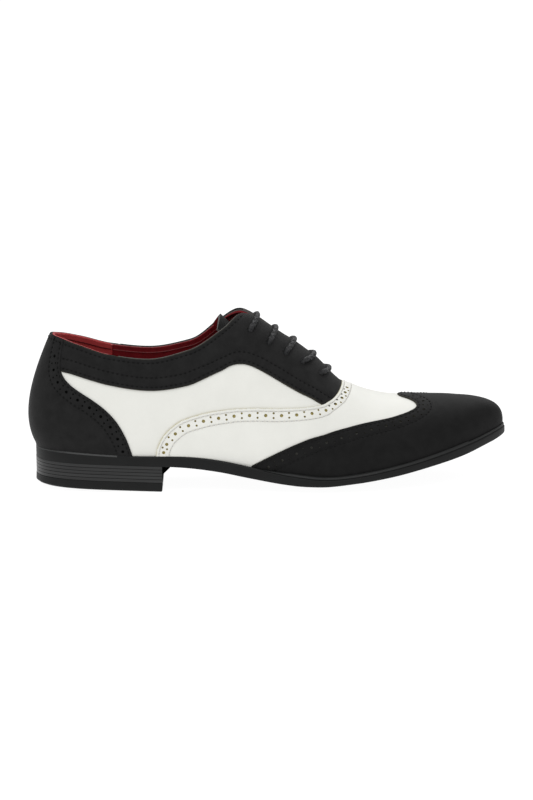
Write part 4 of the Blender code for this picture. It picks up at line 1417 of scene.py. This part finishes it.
@dataclass
class Brogued(Leather):
    """A piece with a brogue band along one edge; inward is 1 where it lies on the edge's left, else -1."""

    band: Brogue = Brogue()
    band_edge: EdgeTable = ()
    inward: float = -1.0

    def band_line(self, side: Side) -> Trace:
        """The edge that the band follows."""
        return Trace.of_table(side, self.band_edge)

    def stitches(self, side: Side) -> list[Trace]:
        """The band's two seams."""
        return self.band.seams(self.band_line(side), self.inward)

    def holes(self, side: Side) -> list[tuple[Pit, np.ndarray]]:
        """The band's holes."""
        return self.band.loops(self.band_line(side), self.inward)


def lace_holes(side: Side, radius: float) -> list[tuple[Pit, np.ndarray]]:
    """The five lace holes of one side.

    Args:
        side: side of the last.
        radius: their radius, in mm.

    Returns:
        What each hole goes through, and its loop in the flat pattern.
    """
    loops = []
    for x, up, _ in LACES:
        centre = np.array([float(LAST.along_at(side, x, up)), up * FLAT_HEIGHT])
        loops.append((Pit.THROUGH, round_hole(side, centre, radius, LACE_HOLE_CORNERS)))
    return loops


@dataclass
class HeelCounter(Brogued):
    """The black piece round the back of the heel."""

    band: Brogue = COUNTER_BROGUE
    band_edge: EdgeTable = COUNTER_EDGE
    inward: float = 1.0
    top_row: float = 2.6
    top_clear: float = 0.2

    def edges(self, side: Side) -> list[Trace]:
        """Sole line, brogued front edge, topline and the back of the heel."""
        return [self.sole_line(side), self.band_line(side), self.top_line(side),
                Trace.upright(side, 0.0, self.rows())]

    def stitches(self, side: Side) -> list[Trace]:
        """The brogue band's two seams and the topline seam."""
        back = Trace.upright(side, 0.0, self.rows())
        top = self.top_line(side).offset(-self.top_row)
        return super().stitches(side) + [top.trimmed(back, self.band_line(side), self.top_clear)]


@dataclass
class Facing(Leather):
    """The black collar band and lace facing of one side, tucked under the counter and the vamp."""

    under_counter: float = 3.0
    under_vamp: float = 4.0
    dip: float = 0.5
    dip_reach: float = 3.0
    dip_hold: float = 1.2
    low_row: float = 2.2
    mid_row: float = 8.2
    top_row: float = 2.6
    top_row_end: float = 141.0
    lace_radius: float = 1.9

    def edges(self, side: Side) -> list[Trace]:
        """Lower edge, front under the vamp, top edge and back under the counter."""
        return [Trace.of_table(side, COLLAR_EDGE), Trace.of_table(side, VAMP_EDGE).offset(-self.under_vamp),
                self.top_line(side), Trace.of_table(side, COUNTER_EDGE).offset(self.under_counter)]

    def stitches(self, side: Side) -> list[Trace]:
        """Two rows along the lower edge and one along the topline."""
        lower = Trace.of_table(side, COLLAR_EDGE)
        back, front = Trace.of_table(side, COUNTER_EDGE), Trace.of_table(side, VAMP_EDGE)
        rows = [lower.offset(reach).trimmed(back, front) for reach in (self.low_row, self.mid_row)]
        stop = Trace.upright(side, float(LAST.along_at(side, self.top_row_end, 1.0)), self.rows())
        return rows + [self.top_line(side).offset(-self.top_row).trimmed(back, stop)]

    def holes(self, side: Side) -> list[tuple[Pit, np.ndarray]]:
        """The lace holes."""
        return lace_holes(side, self.lace_radius)

    def shape(self, side: Side, flat: np.ndarray, places: np.ndarray) -> np.ndarray:
        """The dip under the counter and the vamp."""
        fall = np.zeros(len(flat))
        for table in (COUNTER_EDGE, VAMP_EDGE):
            cover = Trace.of_table(side, table).clipped().spaced(self.edge_step)
            gap, _ = Nearness(cover.places())(places)
            fall = np.minimum(fall, -self.dip * np.clip(self.dip_hold - gap / self.dip_reach, 0.0, 1.0))
        return fall


@dataclass
class Quarter(Leather):
    """The white side piece between counter, collar band and vamp."""

    under: float = 5.0
    dip: float = 0.5
    dip_hold: float = 1.6

    def edges(self, side: Side) -> list[Trace]:
        """Sole line, then under the vamp, the collar band and the counter."""
        return [self.sole_line(side), Trace.of_table(side, VAMP_EDGE).offset(-self.under),
                Trace.of_table(side, COLLAR_EDGE).offset(self.under),
                Trace.of_table(side, COUNTER_EDGE).offset(self.under)]

    def shape(self, side: Side, flat: np.ndarray, places: np.ndarray) -> np.ndarray:
        """The dip under the collar band, deepest along the piece's own hidden edge."""
        hidden = Trace.of_table(side, COLLAR_EDGE).offset(self.under).clipped().spaced(0.5)
        gap, _ = Nearness(hidden.places())(places)
        return -self.dip * np.clip(self.dip_hold - self.dip_hold * gap / self.under, 0.0, 1.0)


@dataclass
class Vamp(Brogued):
    """The white forepart with its brogue band along the back edge."""

    band: Brogue = VAMP_BROGUE
    band_edge: EdgeTable = VAMP_EDGE
    under_wing: float = 4.0

    def edges(self, side: Side) -> list[Trace]:
        """Sole line, front under the wing, ridge and the brogued back edge."""
        return [self.sole_line(side), Trace.of_table(side, WING_EDGE).offset(-self.under_wing),
                self.top_line(side, cut=False), self.band_line(side)]

    def pricked(self, side: Side) -> list[Trace]:
        """The inner of the two seams."""
        return self.stitches(side)[1:]


@dataclass
class WingCap(Brogued):
    """The black winged toe cap."""

    band: Brogue = WING_BROGUE
    band_edge: EdgeTable = WING_EDGE

    def edges(self, side: Side) -> list[Trace]:
        """Sole line, toe, ridge and the brogued wing edge."""
        return [self.sole_line(side), Trace.upright(side, LAST.half, self.rows()),
                self.top_line(side, cut=False), self.band_line(side)]


@dataclass
class HeelLining(Leather):
    """The smooth red lining behind the heel."""

    def edges(self, side: Side) -> list[Trace]:
        """Sole line, seam to the front lining, topline and the back of the heel."""
        return [self.sole_line(side), Trace.of_table(side, LINING_SEAM), self.top_line(side, cut=False),
                Trace.upright(side, 0.0, self.rows())]


@dataclass
class FrontLining(Leather):
    """The grained red lining from the heel piece to the toe, with the lace holes."""

    lace_radius: float = 2.2

    def edges(self, side: Side) -> list[Trace]:
        """Sole line, toe, top edge and the seam to the heel lining."""
        return [self.sole_line(side), Trace.upright(side, LAST.half, self.rows()),
                self.top_line(side, cut=False), Trace.of_table(side, LINING_SEAM)]

    def holes(self, side: Side) -> list[tuple[Pit, np.ndarray]]:
        """The lace holes."""
        return lace_holes(side, self.lace_radius)


def tube(name: str, path: np.ndarray, radii: np.ndarray, finish: Finish) -> bpy.types.Object:
    """A round cord along a path.

    Args:
        name: the piece's name.
        path: points in mm.
        radii: one row of radii per point, a column for each side of the cord.
        finish: its finish.

    Returns:
        The new object.
    """
    run = np.gradient(path, axis=0)
    run /= np.linalg.norm(run, axis=1, keepdims=True)
    count, corners = radii.shape
    side = np.cross(run[0], [0.0, 0.0, 1.0])
    if np.linalg.norm(side) < 0.2:
        side = np.cross(run[0], [1.0, 0.0, 0.0])
    points = []
    turns = full_turn(corners)
    for spot, way, girth in zip(path, run, radii):
        side = side - way * side.dot(way)
        side /= np.linalg.norm(side)
        other = np.cross(way, side)
        for turn, radius in zip(turns, girth):
            points.append(spot + radius * (math.cos(turn) * side + math.sin(turn) * other))
    return add_mesh(name, np.array(points), ring_faces(count, corners), (finish,), sharp=75.0)


@dataclass
class Topline:
    """The cut edge along the collar, grey outside and black inside, and the seam of the lining below it."""

    front_x: float = 139.0
    back_x: float = 58.0
    before_heel_x: float = -1.0
    seam_drop: float = 3.2
    joint_foot: float = 0.1
    stops: int = 150
    step: float = 1.5
    corners: int = 8

    def build(self) -> None:
        """On each side the edge, the lip of the heel lining, the seam below and the joint of the linings."""
        heel_x, joint_x = self.before_heel_x, LINING_SEAM[0][0]
        hide, red = "black_leather", "red_lining_leather"
        for side, finish in ((Side.LATERAL, GREY_EDGE_AND_HOLE_SHADE), (Side.MEDIAL, BLACK_NUBUCK)):
            front = float(LAST.along_at(side, self.front_x, 1.0))
            along = np.linspace(front, 0.0, self.stops)
            line = Trace(side, np.stack([along, np.full(len(along), FLAT_HEIGHT)], -1))
            low = line.offset(self.seam_drop).clipped()
            joint = Trace.of_table(side, LINING_SEAM).clipped(self.joint_foot)
            for name, trace, lift, radius, first_x, last_x, tone, slot in (
                ("topline_edge", line, -0.75, 0.45, self.back_x, PAST_TOE_X, finish, hide),
                ("topline_back_edge", line, -0.75, 0.3, heel_x, self.back_x, BLACK_NUBUCK, hide),
                ("lining_lip", line, -2.3, 0.6, heel_x, joint_x, RED_HEEL_GRIP, red),
                # The lining seam: rose along the front lining, painted highlight; dark red along the heel,
                # painted shade.
                ("lining_front_seam", low, -3.4, 0.3, joint_x, PAST_TOE_X, ROSE_THREAD, red),
                ("lining_heel_seam", low, -3.4, 0.3, heel_x, joint_x, RED_SEAM, red),
                ("lining_joint", joint, -3.4, 0.3, heel_x, PAST_TOE_X, RED_LINING, red),
            ):
                path = even_path(trace.places() + trace.normals() * lift, self.step)
                path = path[(path[:, 0] >= first_x) & (path[:, 0] <= last_x)]
                radii = np.full((len(path), self.corners), radius)
                hand_over(tube(f"{name}_{side.name.lower()}", path, radii, tone), slot)


@dataclass
class Laces:
    """Five straight bars of waxed cord that go down through the lace holes.

    The braid is coarser than a real cord's, which would be too fine to show.
    """

    radius: float = 1.6
    braid: float = 0.3
    braid_pitch: float = 4.6
    braid_turn: float = 0.8
    strands: int = 3
    corners: int = 30
    step: float = 0.3
    clear: float = 1.35
    medial_clear: float = 0.9
    sunk: float = 0.8
    square: float = 0.78

    def path(self, x: float, up: float, ridge_x: float) -> np.ndarray:
        """Way of one bar from inside its lateral hole over the ridge and into its medial hole.

        Args:
            x: x of its holes, in mm.
            up: way up of its holes.
            ridge_x: x where it crosses the ridge, in mm.

        Returns:
            Points in mm, one step apart.
        """
        spots = []
        for side in BOTH:
            start = float(LAST.along_at(side, x, up))
            end = float(LAST.along_at(side, ridge_x, 1.0))
            half = []
            clear = self.clear if side is Side.LATERAL else self.medial_clear
            for share, lift in ((-0.06, -4.2), (-0.03, -1.6), (0.0, 0.5), (0.06, 0.15 + clear),
                                (0.16, 0.25 + clear), (0.4, clear), (0.7, clear), (1.0, self.sunk)):
                ahead = share if share < 0.0 else 1.0 - max(1.0 - share / self.square, 0.0) ** 2
                way = np.array([start + (end - start) * ahead])
                height = np.array([up + (1.0 - up) * share])
                half.append(LAST.point(side, way, height)[0] + LAST.normal(side, way, height)[0] * lift)
            spots += half if side is Side.LATERAL else half[::-1]
        return smooth_path(np.array(spots), self.step)

    def build(self) -> None:
        """Make the bars."""
        for number, row in enumerate(LACES, start=1):
            path = self.path(*row)
            way = np.arange(len(path)) * self.step
            turn = self.strands * full_turn(self.corners)
            spin = 2.0 * math.pi * way[:, None] / self.braid_pitch
            weave = np.maximum(np.sin(turn + spin), np.sin(turn - spin + self.braid_turn))
            piece = tube(f"lace_{number}", path, self.radius + self.braid * (weave - 0.5), WAXED_CORD)
            hand_over(piece, "lace", f"lace_bar_{number}")


@dataclass
class Tongue:
    """The tongue: black leather outside, red lining inside, pale cut edge."""

    leather: float = 1.1
    lining: float = 0.9
    lanes: int = 26
    row_step: float = 1.6

    def surface(self) -> tuple[np.ndarray, np.ndarray]:
        """The tongue's outer face.

        Returns:
            A grid of points, in rows from the free end to the throat, and their normals.
        """
        rows = smooth_path(np.array(TONGUE), self.row_step)
        share = np.linspace(-1.0, 1.0, self.lanes + 1)
        middle = LAST.same["top_y"](LAST.along_at(Side.LATERAL, rows[:, 0], 1.0))
        sweep = share ** 2 * np.where(share > 0.0, MEDIAL_SWEEP, 1.0)
        grid = np.stack([
            rows[:, :1] - rows[:, 4:5] * sweep,
            middle[:, None] + rows[:, 2:3] * share,
            rows[:, 1:2] - rows[:, 3:4] * share ** 2,
        ], -1)
        along, across = np.gradient(grid, axis=0), np.gradient(grid, axis=1)
        out = np.cross(along, across)
        return grid, out / np.linalg.norm(out, axis=-1, keepdims=True)

    def build(self) -> None:
        """Make the leather and the lining as two sheets."""
        grid, out = self.surface()
        for name, top, thickness, finish, slot, nodes in (
            ("tongue_leather", 0.0, self.leather, BLACK_NUBUCK, "black_leather", ("tongue",)),
            ("tongue_lining", self.leather, self.lining, RED_LINING, "red_lining_leather", ()),
        ):
            piece = grid_sheet(name, grid - out * top, grid - out * (top + thickness), (finish, GREY_EDGE_AND_HOLE_SHADE))
            hand_over(piece, slot, *nodes)


def grid_sheet(name: str, upper: np.ndarray, lower: np.ndarray,
               finishes: tuple[Finish, Finish]) -> bpy.types.Object:
    """A closed sheet between two grids of points.

    Args:
        name: the piece's name.
        upper: rows of points of the outer face, in mm.
        lower: the same points of the inner face.
        finishes: the finish of both faces and that of the rim.

    Returns:
        The new object.
    """
    rows, lanes = upper.shape[:2]
    count = rows * lanes
    number = np.arange(count).reshape(rows, lanes)
    faces = []
    for r in range(rows - 1):
        for c in range(lanes - 1):
            quad = (number[r, c], number[r + 1, c], number[r + 1, c + 1], number[r, c + 1])
            faces.append(quad)
            faces.append(tuple(i + count for i in quad[::-1]))
    flat = len(faces)
    rim = np.concatenate([number[0, :-1], number[:-1, -1], number[-1, :0:-1], number[:0:-1, 0]])
    for a, b in zip(rim, np.roll(rim, -1)):
        faces.append((a, b, b + count, a + count))
    kinds = np.concatenate([np.zeros(flat), np.ones(len(faces) - flat)])
    points = np.vstack([upper.reshape(-1, 3), lower.reshape(-1, 3)])
    return add_mesh(name, points, faces, finishes, kinds)


@dataclass
class Sole:
    """Outsole, insole, welt and heel, from the last's feather line."""

    upper_gap: float = 0.4
    solid_gap: float = 0.3
    lanes: int = 20
    end_reach: float = 60.0
    end_clear: float = 63.0
    insole: float = 3.0
    insole_inset: float = 4.2
    insole_bevel: float = 0.8
    insole_shoulder: float = 0.6
    bevel: float = 0.9
    edge_share: float = 0.3
    breast_x: float = 85.8
    pitch: float = 0.0428
    lift_top: float = 5.6
    stack_top: float = 16.0
    layers: int = 5
    groove: float = 0.25
    groove_half: float = 0.15
    heel_inset: float = 0.3
    breast_faces: int = 6
    breast_corner: float = 1.5
    fillet_reach: float = 4.9
    fillet_foot: float = 9.5
    fillet_head: float = 14.3
    fillet_half_width: float = 28.0
    rim_highlight_end_x: float = 57.0
    welt_start_x: float = 150.0
    welt_step_x: float = 279.5
    welt_step: float = 0.4
    welt_setback: float = 0.4
    welt_lift: float = 0.05
    welt_near: float = 1.55
    welt_rise: float = 1.7
    welt_toe_rise: float = 0.7
    welt_start_rise: float = 0.15
    welt_taper: float = 22.0

    def columns(self) -> np.ndarray:
        """Ways along of the sole's rows, closer together round heel and toe."""
        return np.concatenate([
            np.linspace(0.0, self.end_reach, 41),
            np.linspace(self.end_clear, LAST.half - self.end_clear, 76),
            np.linspace(LAST.half - self.end_reach, LAST.half, 46),
        ])

    def rim(self, side: Side, along: np.ndarray, reach: np.ndarray) -> np.ndarray:
        """Points off the feather line by a level reach."""
        return LAST.feather(side, along) + LAST.outward(side, along) * np.asarray(reach)[..., None]

    def top(self, along: np.ndarray, share: np.ndarray) -> np.ndarray:
        """Height of the outsole's upper face; share runs 0 at one edge to 1 at the other."""
        dip = LAST.sole_value("dish", along) * 4.0 * share * (1.0 - share)
        return LAST.feather(Side.LATERAL, along)[..., 2] - self.upper_gap - dip

    def bottom(self, along: np.ndarray, share: np.ndarray) -> np.ndarray:
        """Height of the outsole's underside."""
        hang = LAST.sole_value("belly", along) * 4.0 * share * (1.0 - share)
        return np.maximum(LAST.sole_value("bottom", along) - hang, 0.0)

    def slab(self, name: str, levels: list[tuple[np.ndarray, np.ndarray]],
             finishes: tuple[Finish, ...]) -> bpy.types.Object:
        """A plate across the last.

        Args:
            name: the piece's name.
            levels: from top to bottom, the reach past the feather line at each column, and heights
                at each column (rows) and share across (columns).
            finishes: its finish, and another for the strip below the top round the heel if that differs,
                there a painted highlight.

        Returns:
            The new object.
        """
        along = self.columns()
        share = np.linspace(0.0, 1.0, self.lanes + 1)
        points, faces, loops = [], [], []
        rows = len(along)
        for level, (reach, height) in enumerate(levels):
            lateral, medial = (self.rim(side, along, reach)[:, None] for side in BOTH)
            grid = lateral * (1.0 - share[None, :, None]) + medial * share[None, :, None]
            grid[..., 2] = height
            start = sum(len(block) for block in points)
            points.append(grid.reshape(-1, 3))
            number = start + np.arange(rows * (self.lanes + 1)).reshape(rows, self.lanes + 1)
            number[0, :], number[-1, :] = number[0, 0], number[-1, 0]
            loops.append(np.concatenate([number[:, 0], number[-2:0:-1, -1]]))
            if level in (0, len(levels) - 1):
                turn = 1 if level == 0 else -1
                for r in range(rows - 1):
                    for c in range(self.lanes):
                        quad = [number[r, c], number[r + 1, c], number[r + 1, c + 1], number[r, c + 1]]
                        face = tuple(dict.fromkeys(quad))[::turn]
                        if len(face) > 2:
                            faces.append(face)
        flat, strip = len(faces), len(loops[0])
        for loop, below in zip(loops, loops[1:]):
            for i in range(len(loop)):
                j = (i + 1) % len(loop)
                faces.append((loop[j], loop[i], below[i], below[j]))
        points = np.vstack(points)
        kinds = np.zeros(len(faces))
        # The strip below the top round the heel takes the paler finish: painted highlight.
        kinds[flat:flat + strip] = np.where(points[loops[0], 0] < self.rim_highlight_end_x, len(finishes) - 1, 0)
        return add_mesh(name, points, faces, finishes, kinds, sharp=35.0)

    def build(self) -> None:
        """Make every piece below the upper."""
        self.build_outsole()
        self.build_insole()
        self.build_heel()
        self.build_welt()

    def build_outsole(self) -> None:
        """The moulded outsole, with a bevel above and a rounded edge below."""
        along = self.columns()
        share = np.linspace(0.0, 1.0, self.lanes + 1)[None]
        column = along[:, None]
        reach = LAST.sole_value("overhang", along)
        edge = LAST.sole_value("edge", along)
        top, bottom = self.top(column, share), self.bottom(column, share)
        piece = self.slab("moulded_outsole", [
            (reach - self.bevel, top), (reach, top - self.bevel), (reach, bottom + edge[:, None]),
            (reach - self.edge_share * edge, bottom + self.edge_share * edge[:, None]),
            (reach - edge, bottom),
        ], (BLACK_RUBBER, SOLE_RIM_HIGHLIGHT))
        hand_over(piece, "sole_rubber", "outsole")

    def build_insole(self) -> None:
        """The red insole on the outsole."""
        along = self.columns()
        share = np.linspace(0.0, 1.0, self.lanes + 1)[None]
        base = self.top(along[:, None], share) + self.solid_gap
        reach = np.full(len(along), -self.insole_inset)
        piece = self.slab("insole_sock", [
            (reach - self.insole_bevel, base + self.insole),
            (reach, base + self.insole - self.insole_shoulder),
            (reach, base),
        ], (RED_HEEL_GRIP,))
        hand_over(piece, "red_lining_leather", "insole")

    def heel_ring(self, inset: float, height: float, fillet: float, back_inset: float = 0.0,
                  back_rise: float = 0.0) -> np.ndarray:
        """Closed ring of the heel at one height, with its straight breast and the fillet under the waist.

        Args:
            inset: how far the ring lies inside the sole's edge, in mm.
            height: its height at the breast, in mm.
            fillet: how far the breast reaches forward, in mm.
            back_inset: more inset at the back of the heel, in mm.
            back_rise: more height there, in mm.

        Returns:
            Points of the ring.
        """
        last_column = float(LAST.along_at(Side.LATERAL, self.breast_x, 0.0))
        columns = self.columns()
        ways = np.concatenate([columns[(columns > 0.5) & (columns < last_column - 1.5)], [last_column]])
        ring = []
        for side, stops in ((Side.LATERAL, np.append(ways[::-1], 0.0)), (Side.MEDIAL, ways)):
            back = np.clip(-LAST.outward(side, stops)[:, 0], 0.0, 1.0) ** 2
            spots = self.rim(side, stops, LAST.sole_value("overhang", stops) - inset - back_inset * back)
            spots[:, 0] = np.minimum(spots[:, 0], self.breast_x - inset)
            spots[:, 2] = height + back_rise * back
            ring.append(spots)
        corner = self.fillet_half_width
        wide = corner - self.breast_corner
        breast = [(corner, 0.0), (wide, fillet), (0.0, fillet), (-wide, fillet), (-corner, 0.0)]
        ring.append(np.array([(self.breast_x - inset + reach, y, height) for y, reach in breast]))
        ring = np.vstack(ring)
        ring[:, 2] += self.pitch * (self.breast_x - ring[:, 0])
        return ring

    def fillet_at(self, height: float) -> float:
        """How far the breast reaches forward at a height."""
        share = (height - self.fillet_foot) / (self.fillet_head - self.fillet_foot)
        return self.fillet_reach * min(max(share, 0.0), 1.0)

    def ring_stack(self, name: str, rings: list[np.ndarray], finishes: tuple[Finish, ...],
                   bands: list[int]) -> bpy.types.Object:
        """A solid from closed rings, one above the other, capped at both ends.

        Args:
            name: the piece's name.
            rings: rings of points from the lowest up.
            finishes: the finishes of the bands between rings, the last one for the breast.
            bands: number of the finish of each band.

        Returns:
            The new object.
        """
        count = len(rings[0])
        kinds = []
        for band in bands:
            kinds += [band] * (count - self.breast_faces) + [len(finishes) - 1] * self.breast_faces
        kinds += [0, 0]
        faces = ring_faces(len(rings), count, turned=True)
        return add_mesh(name, np.vstack(rings), faces, finishes, np.array(kinds), sharp=35.0)

    def build_heel(self) -> None:
        """The top lift on the floor and the stack of thin layers above it."""
        rings = []
        for inset, height, back_inset, back_rise in (
            (1.2, -1.2 * self.pitch, 1.6, 0.0),
            (0.7, 0.35, 0.2, 0.1),
            (0.4, 1.0, -0.8, 0.4),
            (self.heel_inset, self.lift_top - 0.2, -0.5, 0.0),
            (0.5, self.lift_top + 0.05, -0.5, 0.0),
        ):
            rings.append(self.heel_ring(inset, height, 0.0, back_inset, back_rise))
        lift = self.ring_stack("heel_top_lift", rings, (BLACK_RUBBER,), [0] * (len(rings) - 1))
        hand_over(lift, "sole_rubber", "top_lift")
        bottom = self.lift_top + 0.1
        top = self.stack_top + self.solid_gap
        layer = (top - bottom) / self.layers
        rings = []
        face = self.heel_inset
        profile = ((0.0, face + self.groove), (self.groove_half, face), (layer - self.groove_half, face))
        for number in range(self.layers):
            base = bottom + number * layer
            for rise, inset in profile:
                rings.append(self.heel_ring(inset, base + rise, self.fillet_at(base + rise), back_inset=-0.4))
        rings.append(self.heel_ring(face, top, self.fillet_at(top), back_inset=-0.3))
        bands = [1, 0, 1] * self.layers
        # The breast faces are near black: painted shade.
        stack = self.ring_stack("heel_stack_layers", rings, (STACKED_HEEL, BLACK_RUBBER, HEEL_BREAST), bands)
        hand_over(stack, "stacked_heel", "heel_stack")

    def build_welt(self) -> None:
        """The narrow bevelled strip on the sole's rim, lower past its joint near the toe."""
        start = float(LAST.along_at(Side.LATERAL, self.welt_start_x, 0.0))
        step = float(LAST.along_at(Side.LATERAL, self.welt_step_x, 0.0))
        ways = self.columns()
        ways = np.concatenate([[start], ways[ways > start + 1.0]])
        ways = np.sort(np.concatenate([ways, [step - self.welt_step, step + self.welt_step]]))
        points = []
        stops = [(Side.LATERAL, way) for way in ways] + [(Side.MEDIAL, way) for way in ways[-2::-1]]
        profile = ((0.0, 0.0), (1.0, 0.0), (1.0, 0.3), (0.9, 0.5), (0.15, 0.98), (0.0, 1.0))
        for side, way in stops:
            far = float(LAST.sole_value("overhang", way)) - self.welt_setback
            floor = float(LAST.feather(side, way)[2]) - self.upper_gap + self.welt_lift
            grown = min(self.welt_start_rise + (way - start) / self.welt_taper, 1.0)
            rise = self.welt_rise * (self.welt_toe_rise if way > step else 1.0) * grown
            for out, up in profile:
                spot = self.rim(side, way, self.welt_near + (far - self.welt_near) * out)
                points.append((spot[0], spot[1], floor + rise * up))
        faces = ring_faces(len(stops), len(profile), turned=True)
        # Its tone, paler than the sole rubber, is painted highlight on the bevel.
        piece = add_mesh("welt_strip", np.array(points), faces, (WELT_HIGHLIGHT,), sharp=35.0)
        hand_over(piece, "sole_rubber", "welt")


@dataclass
class Studio:
    """Pale floor, soft light and a long lens at the photograph's angle."""

    elevation: float = 10.0
    roll: float = 1.15
    distance: float = 3.0
    frame_height: float = 512.0
    look_x: float = 152.6
    look_z: float = 51.9
    sensor: float = 36.0
    floor_side: float = 16.0
    floor_tone: str = "#6e6e6e"
    floor_glow: float = 0.966
    sky: float = 0.72

    def build(self) -> None:
        """Set the stage."""
        scene = bpy.context.scene
        scene.view_settings.view_transform = "Standard"
        scene.view_settings.look = "None"
        self.build_floor()
        self.build_light()
        self.build_camera()

    def build_floor(self) -> None:
        """A large pale floor under the shoe."""
        mesh = bpy.data.meshes.new("floor")
        half = self.floor_side / 2.0
        corners = [(-half, -half, 0.0), (half, -half, 0.0), (half, half, 0.0), (-half, half, 0.0)]
        mesh.from_pydata(corners, [], [(0, 1, 2, 3)])
        # Light table: opal acrylic lit from below, so the shoe stands on white with a faint shadow.
        opal = Finish("lit_opal_acrylic", self.floor_tone, self.floor_tone, 0.9, patch=400.0, grain=3.0,
                      grain_depth=0.0, specular=0.0, glow=self.floor_glow)
        mesh.materials.append(opal.material())
        floor = bpy.data.objects.new("floor", mesh)
        bpy.context.scene.collection.objects.link(floor)

    def build_light(self) -> None:
        """White surroundings and two soft boxes, above in front and above behind."""
        world = bpy.data.worlds.new("white_studio")
        world.use_nodes = True
        back = world.node_tree.nodes["Background"]
        back.inputs["Color"].default_value = (1.0, 1.0, 1.0, 1.0)
        back.inputs["Strength"].default_value = self.sky
        bpy.context.scene.world = world
        for name, place, side, power in (
            ("key_softbox", (-0.4, -0.9, 2.0), 1.4, 12.0),
            ("back_softbox", (0.3, 1.2, 1.5), 1.2, 10.0),
        ):
            light = bpy.data.lights.new(name, "AREA")
            light.size = side
            light.energy = power
            lamp = bpy.data.objects.new(name, light)
            lamp.location = place
            lamp.rotation_mode = "QUATERNION"
            lamp.rotation_quaternion = (Vector((0.0, 0.0, 0.05)) - Vector(place)).to_track_quat("-Z", "Y")
            bpy.context.scene.collection.objects.link(lamp)

    def build_camera(self) -> None:
        """The long lens, rolled as the shoe is in the photograph."""
        camera = bpy.data.objects.new("camera", bpy.data.cameras.new("camera"))
        bpy.context.scene.collection.objects.link(camera)
        tilt = math.radians(self.elevation)
        target = Vector((self.look_x - MIDDLE_X, -MIDDLE_Y, self.look_z)) * MM
        back = Vector((0.0, -math.cos(tilt), math.sin(tilt)))
        camera.location = target + back * self.distance
        camera.rotation_mode = "QUATERNION"
        aim = (-back).to_track_quat("-Z", "Y")
        roll = Matrix.Rotation(math.radians(-self.roll), 4, "Z").to_quaternion()
        camera.rotation_quaternion = aim @ roll
        camera.data.sensor_width = self.sensor
        camera.data.lens = self.sensor * self.distance / (self.frame_height * MM)
        camera.data.clip_end = 50.0
        bpy.context.scene.camera = camera


def leather_pieces() -> list[Leather]:
    """The cut pieces of the upper, from the inside out."""
    black = {"slot": "black_leather", "edge_finish": BLACK_EDGE, "strip_finish": BLACK_EDGE}
    # Floors of the counter's punched holes are near black: painted shade.
    nubuck = {"finish": BLACK_NUBUCK, "pit_finish": BLACK_PIT_SHADE, "thread": BLACK_THREAD, **black}
    # The toe: its nap a shade deeper and its hole floors grey, painted shade and a painted glint.
    toe = {"finish": BLACK_TOE_NUBUCK, "pit_finish": TOE_PIT_GLINT, "thread": TOE_THREAD, **black}
    # The white seams get a grey tube in each trough: painted shade.
    white = {"slot": "white_leather", "finish": WHITE_CALF, "edge_finish": TAN_EDGE,
             "strip_finish": CREAM_RIM, "pit_finish": TAN_EDGE, "thread": WHITE_THREAD,
             "seam_shade_finish": SEAM_SHADE_GREY}
    red = {"slot": "red_lining_leather", "strip_finish": RED_LINING, "pit_finish": RED_LINING,
           "thread": ROSE_THREAD, "lift_out": -2.05, "lift_in": -3.2, "lattice": 2.6, "edge_strip": 0.0}
    pieces = [
        HeelLining("heel_lining", nodes=("upper",), finish=RED_HEEL_GRIP, edge_finish=RED_HEEL_GRIP, **red),
        FrontLining("front_lining", nodes=("upper",), finish=RED_LINING, edge_finish=RED_LINING, **red),
        HeelCounter("heel_counter_leather", nodes=("heel_counter",), lift_in=-2.0,
                    **{**nubuck, "edge_finish": BLACK_NUBUCK, "strip_finish": BLACK_NUBUCK}),
        Vamp("vamp_leather", nodes=("vamp",), bridged=True, **white),
        WingCap("wing_cap_leather", nodes=("wing_cap",), bridged=True, lift_out=1.0, **toe),
    ]
    facing_edges = {Side.LATERAL: {}, Side.MEDIAL: {"edge_finish": GREY_EDGE_AND_HOLE_SHADE, "strip_finish": BLACK_NUBUCK}}
    for side in BOTH:
        word = side.name.lower()
        pieces.append(Quarter(f"quarter_{word}", nodes=("upper",), sides=(side,), lift_out=-1.0,
                              lift_in=-2.0, **white))
        pieces.append(Facing(f"facing_{word}_leather", nodes=(f"facing_{word}",), sides=(side,),
                             lift_in=-2.0, **{**nubuck, **facing_edges[side]}))
    return pieces


def main() -> None:
    """Build the shoe and the studio."""
    logging.basicConfig(level=logging.INFO, format="%(message)s")
    for piece in leather_pieces():
        piece.build()
    for part in (Topline(), Sole(), Tongue(), Laces()):
        part.build()
    Studio().build()


if __name__ == "__main__":
    main()
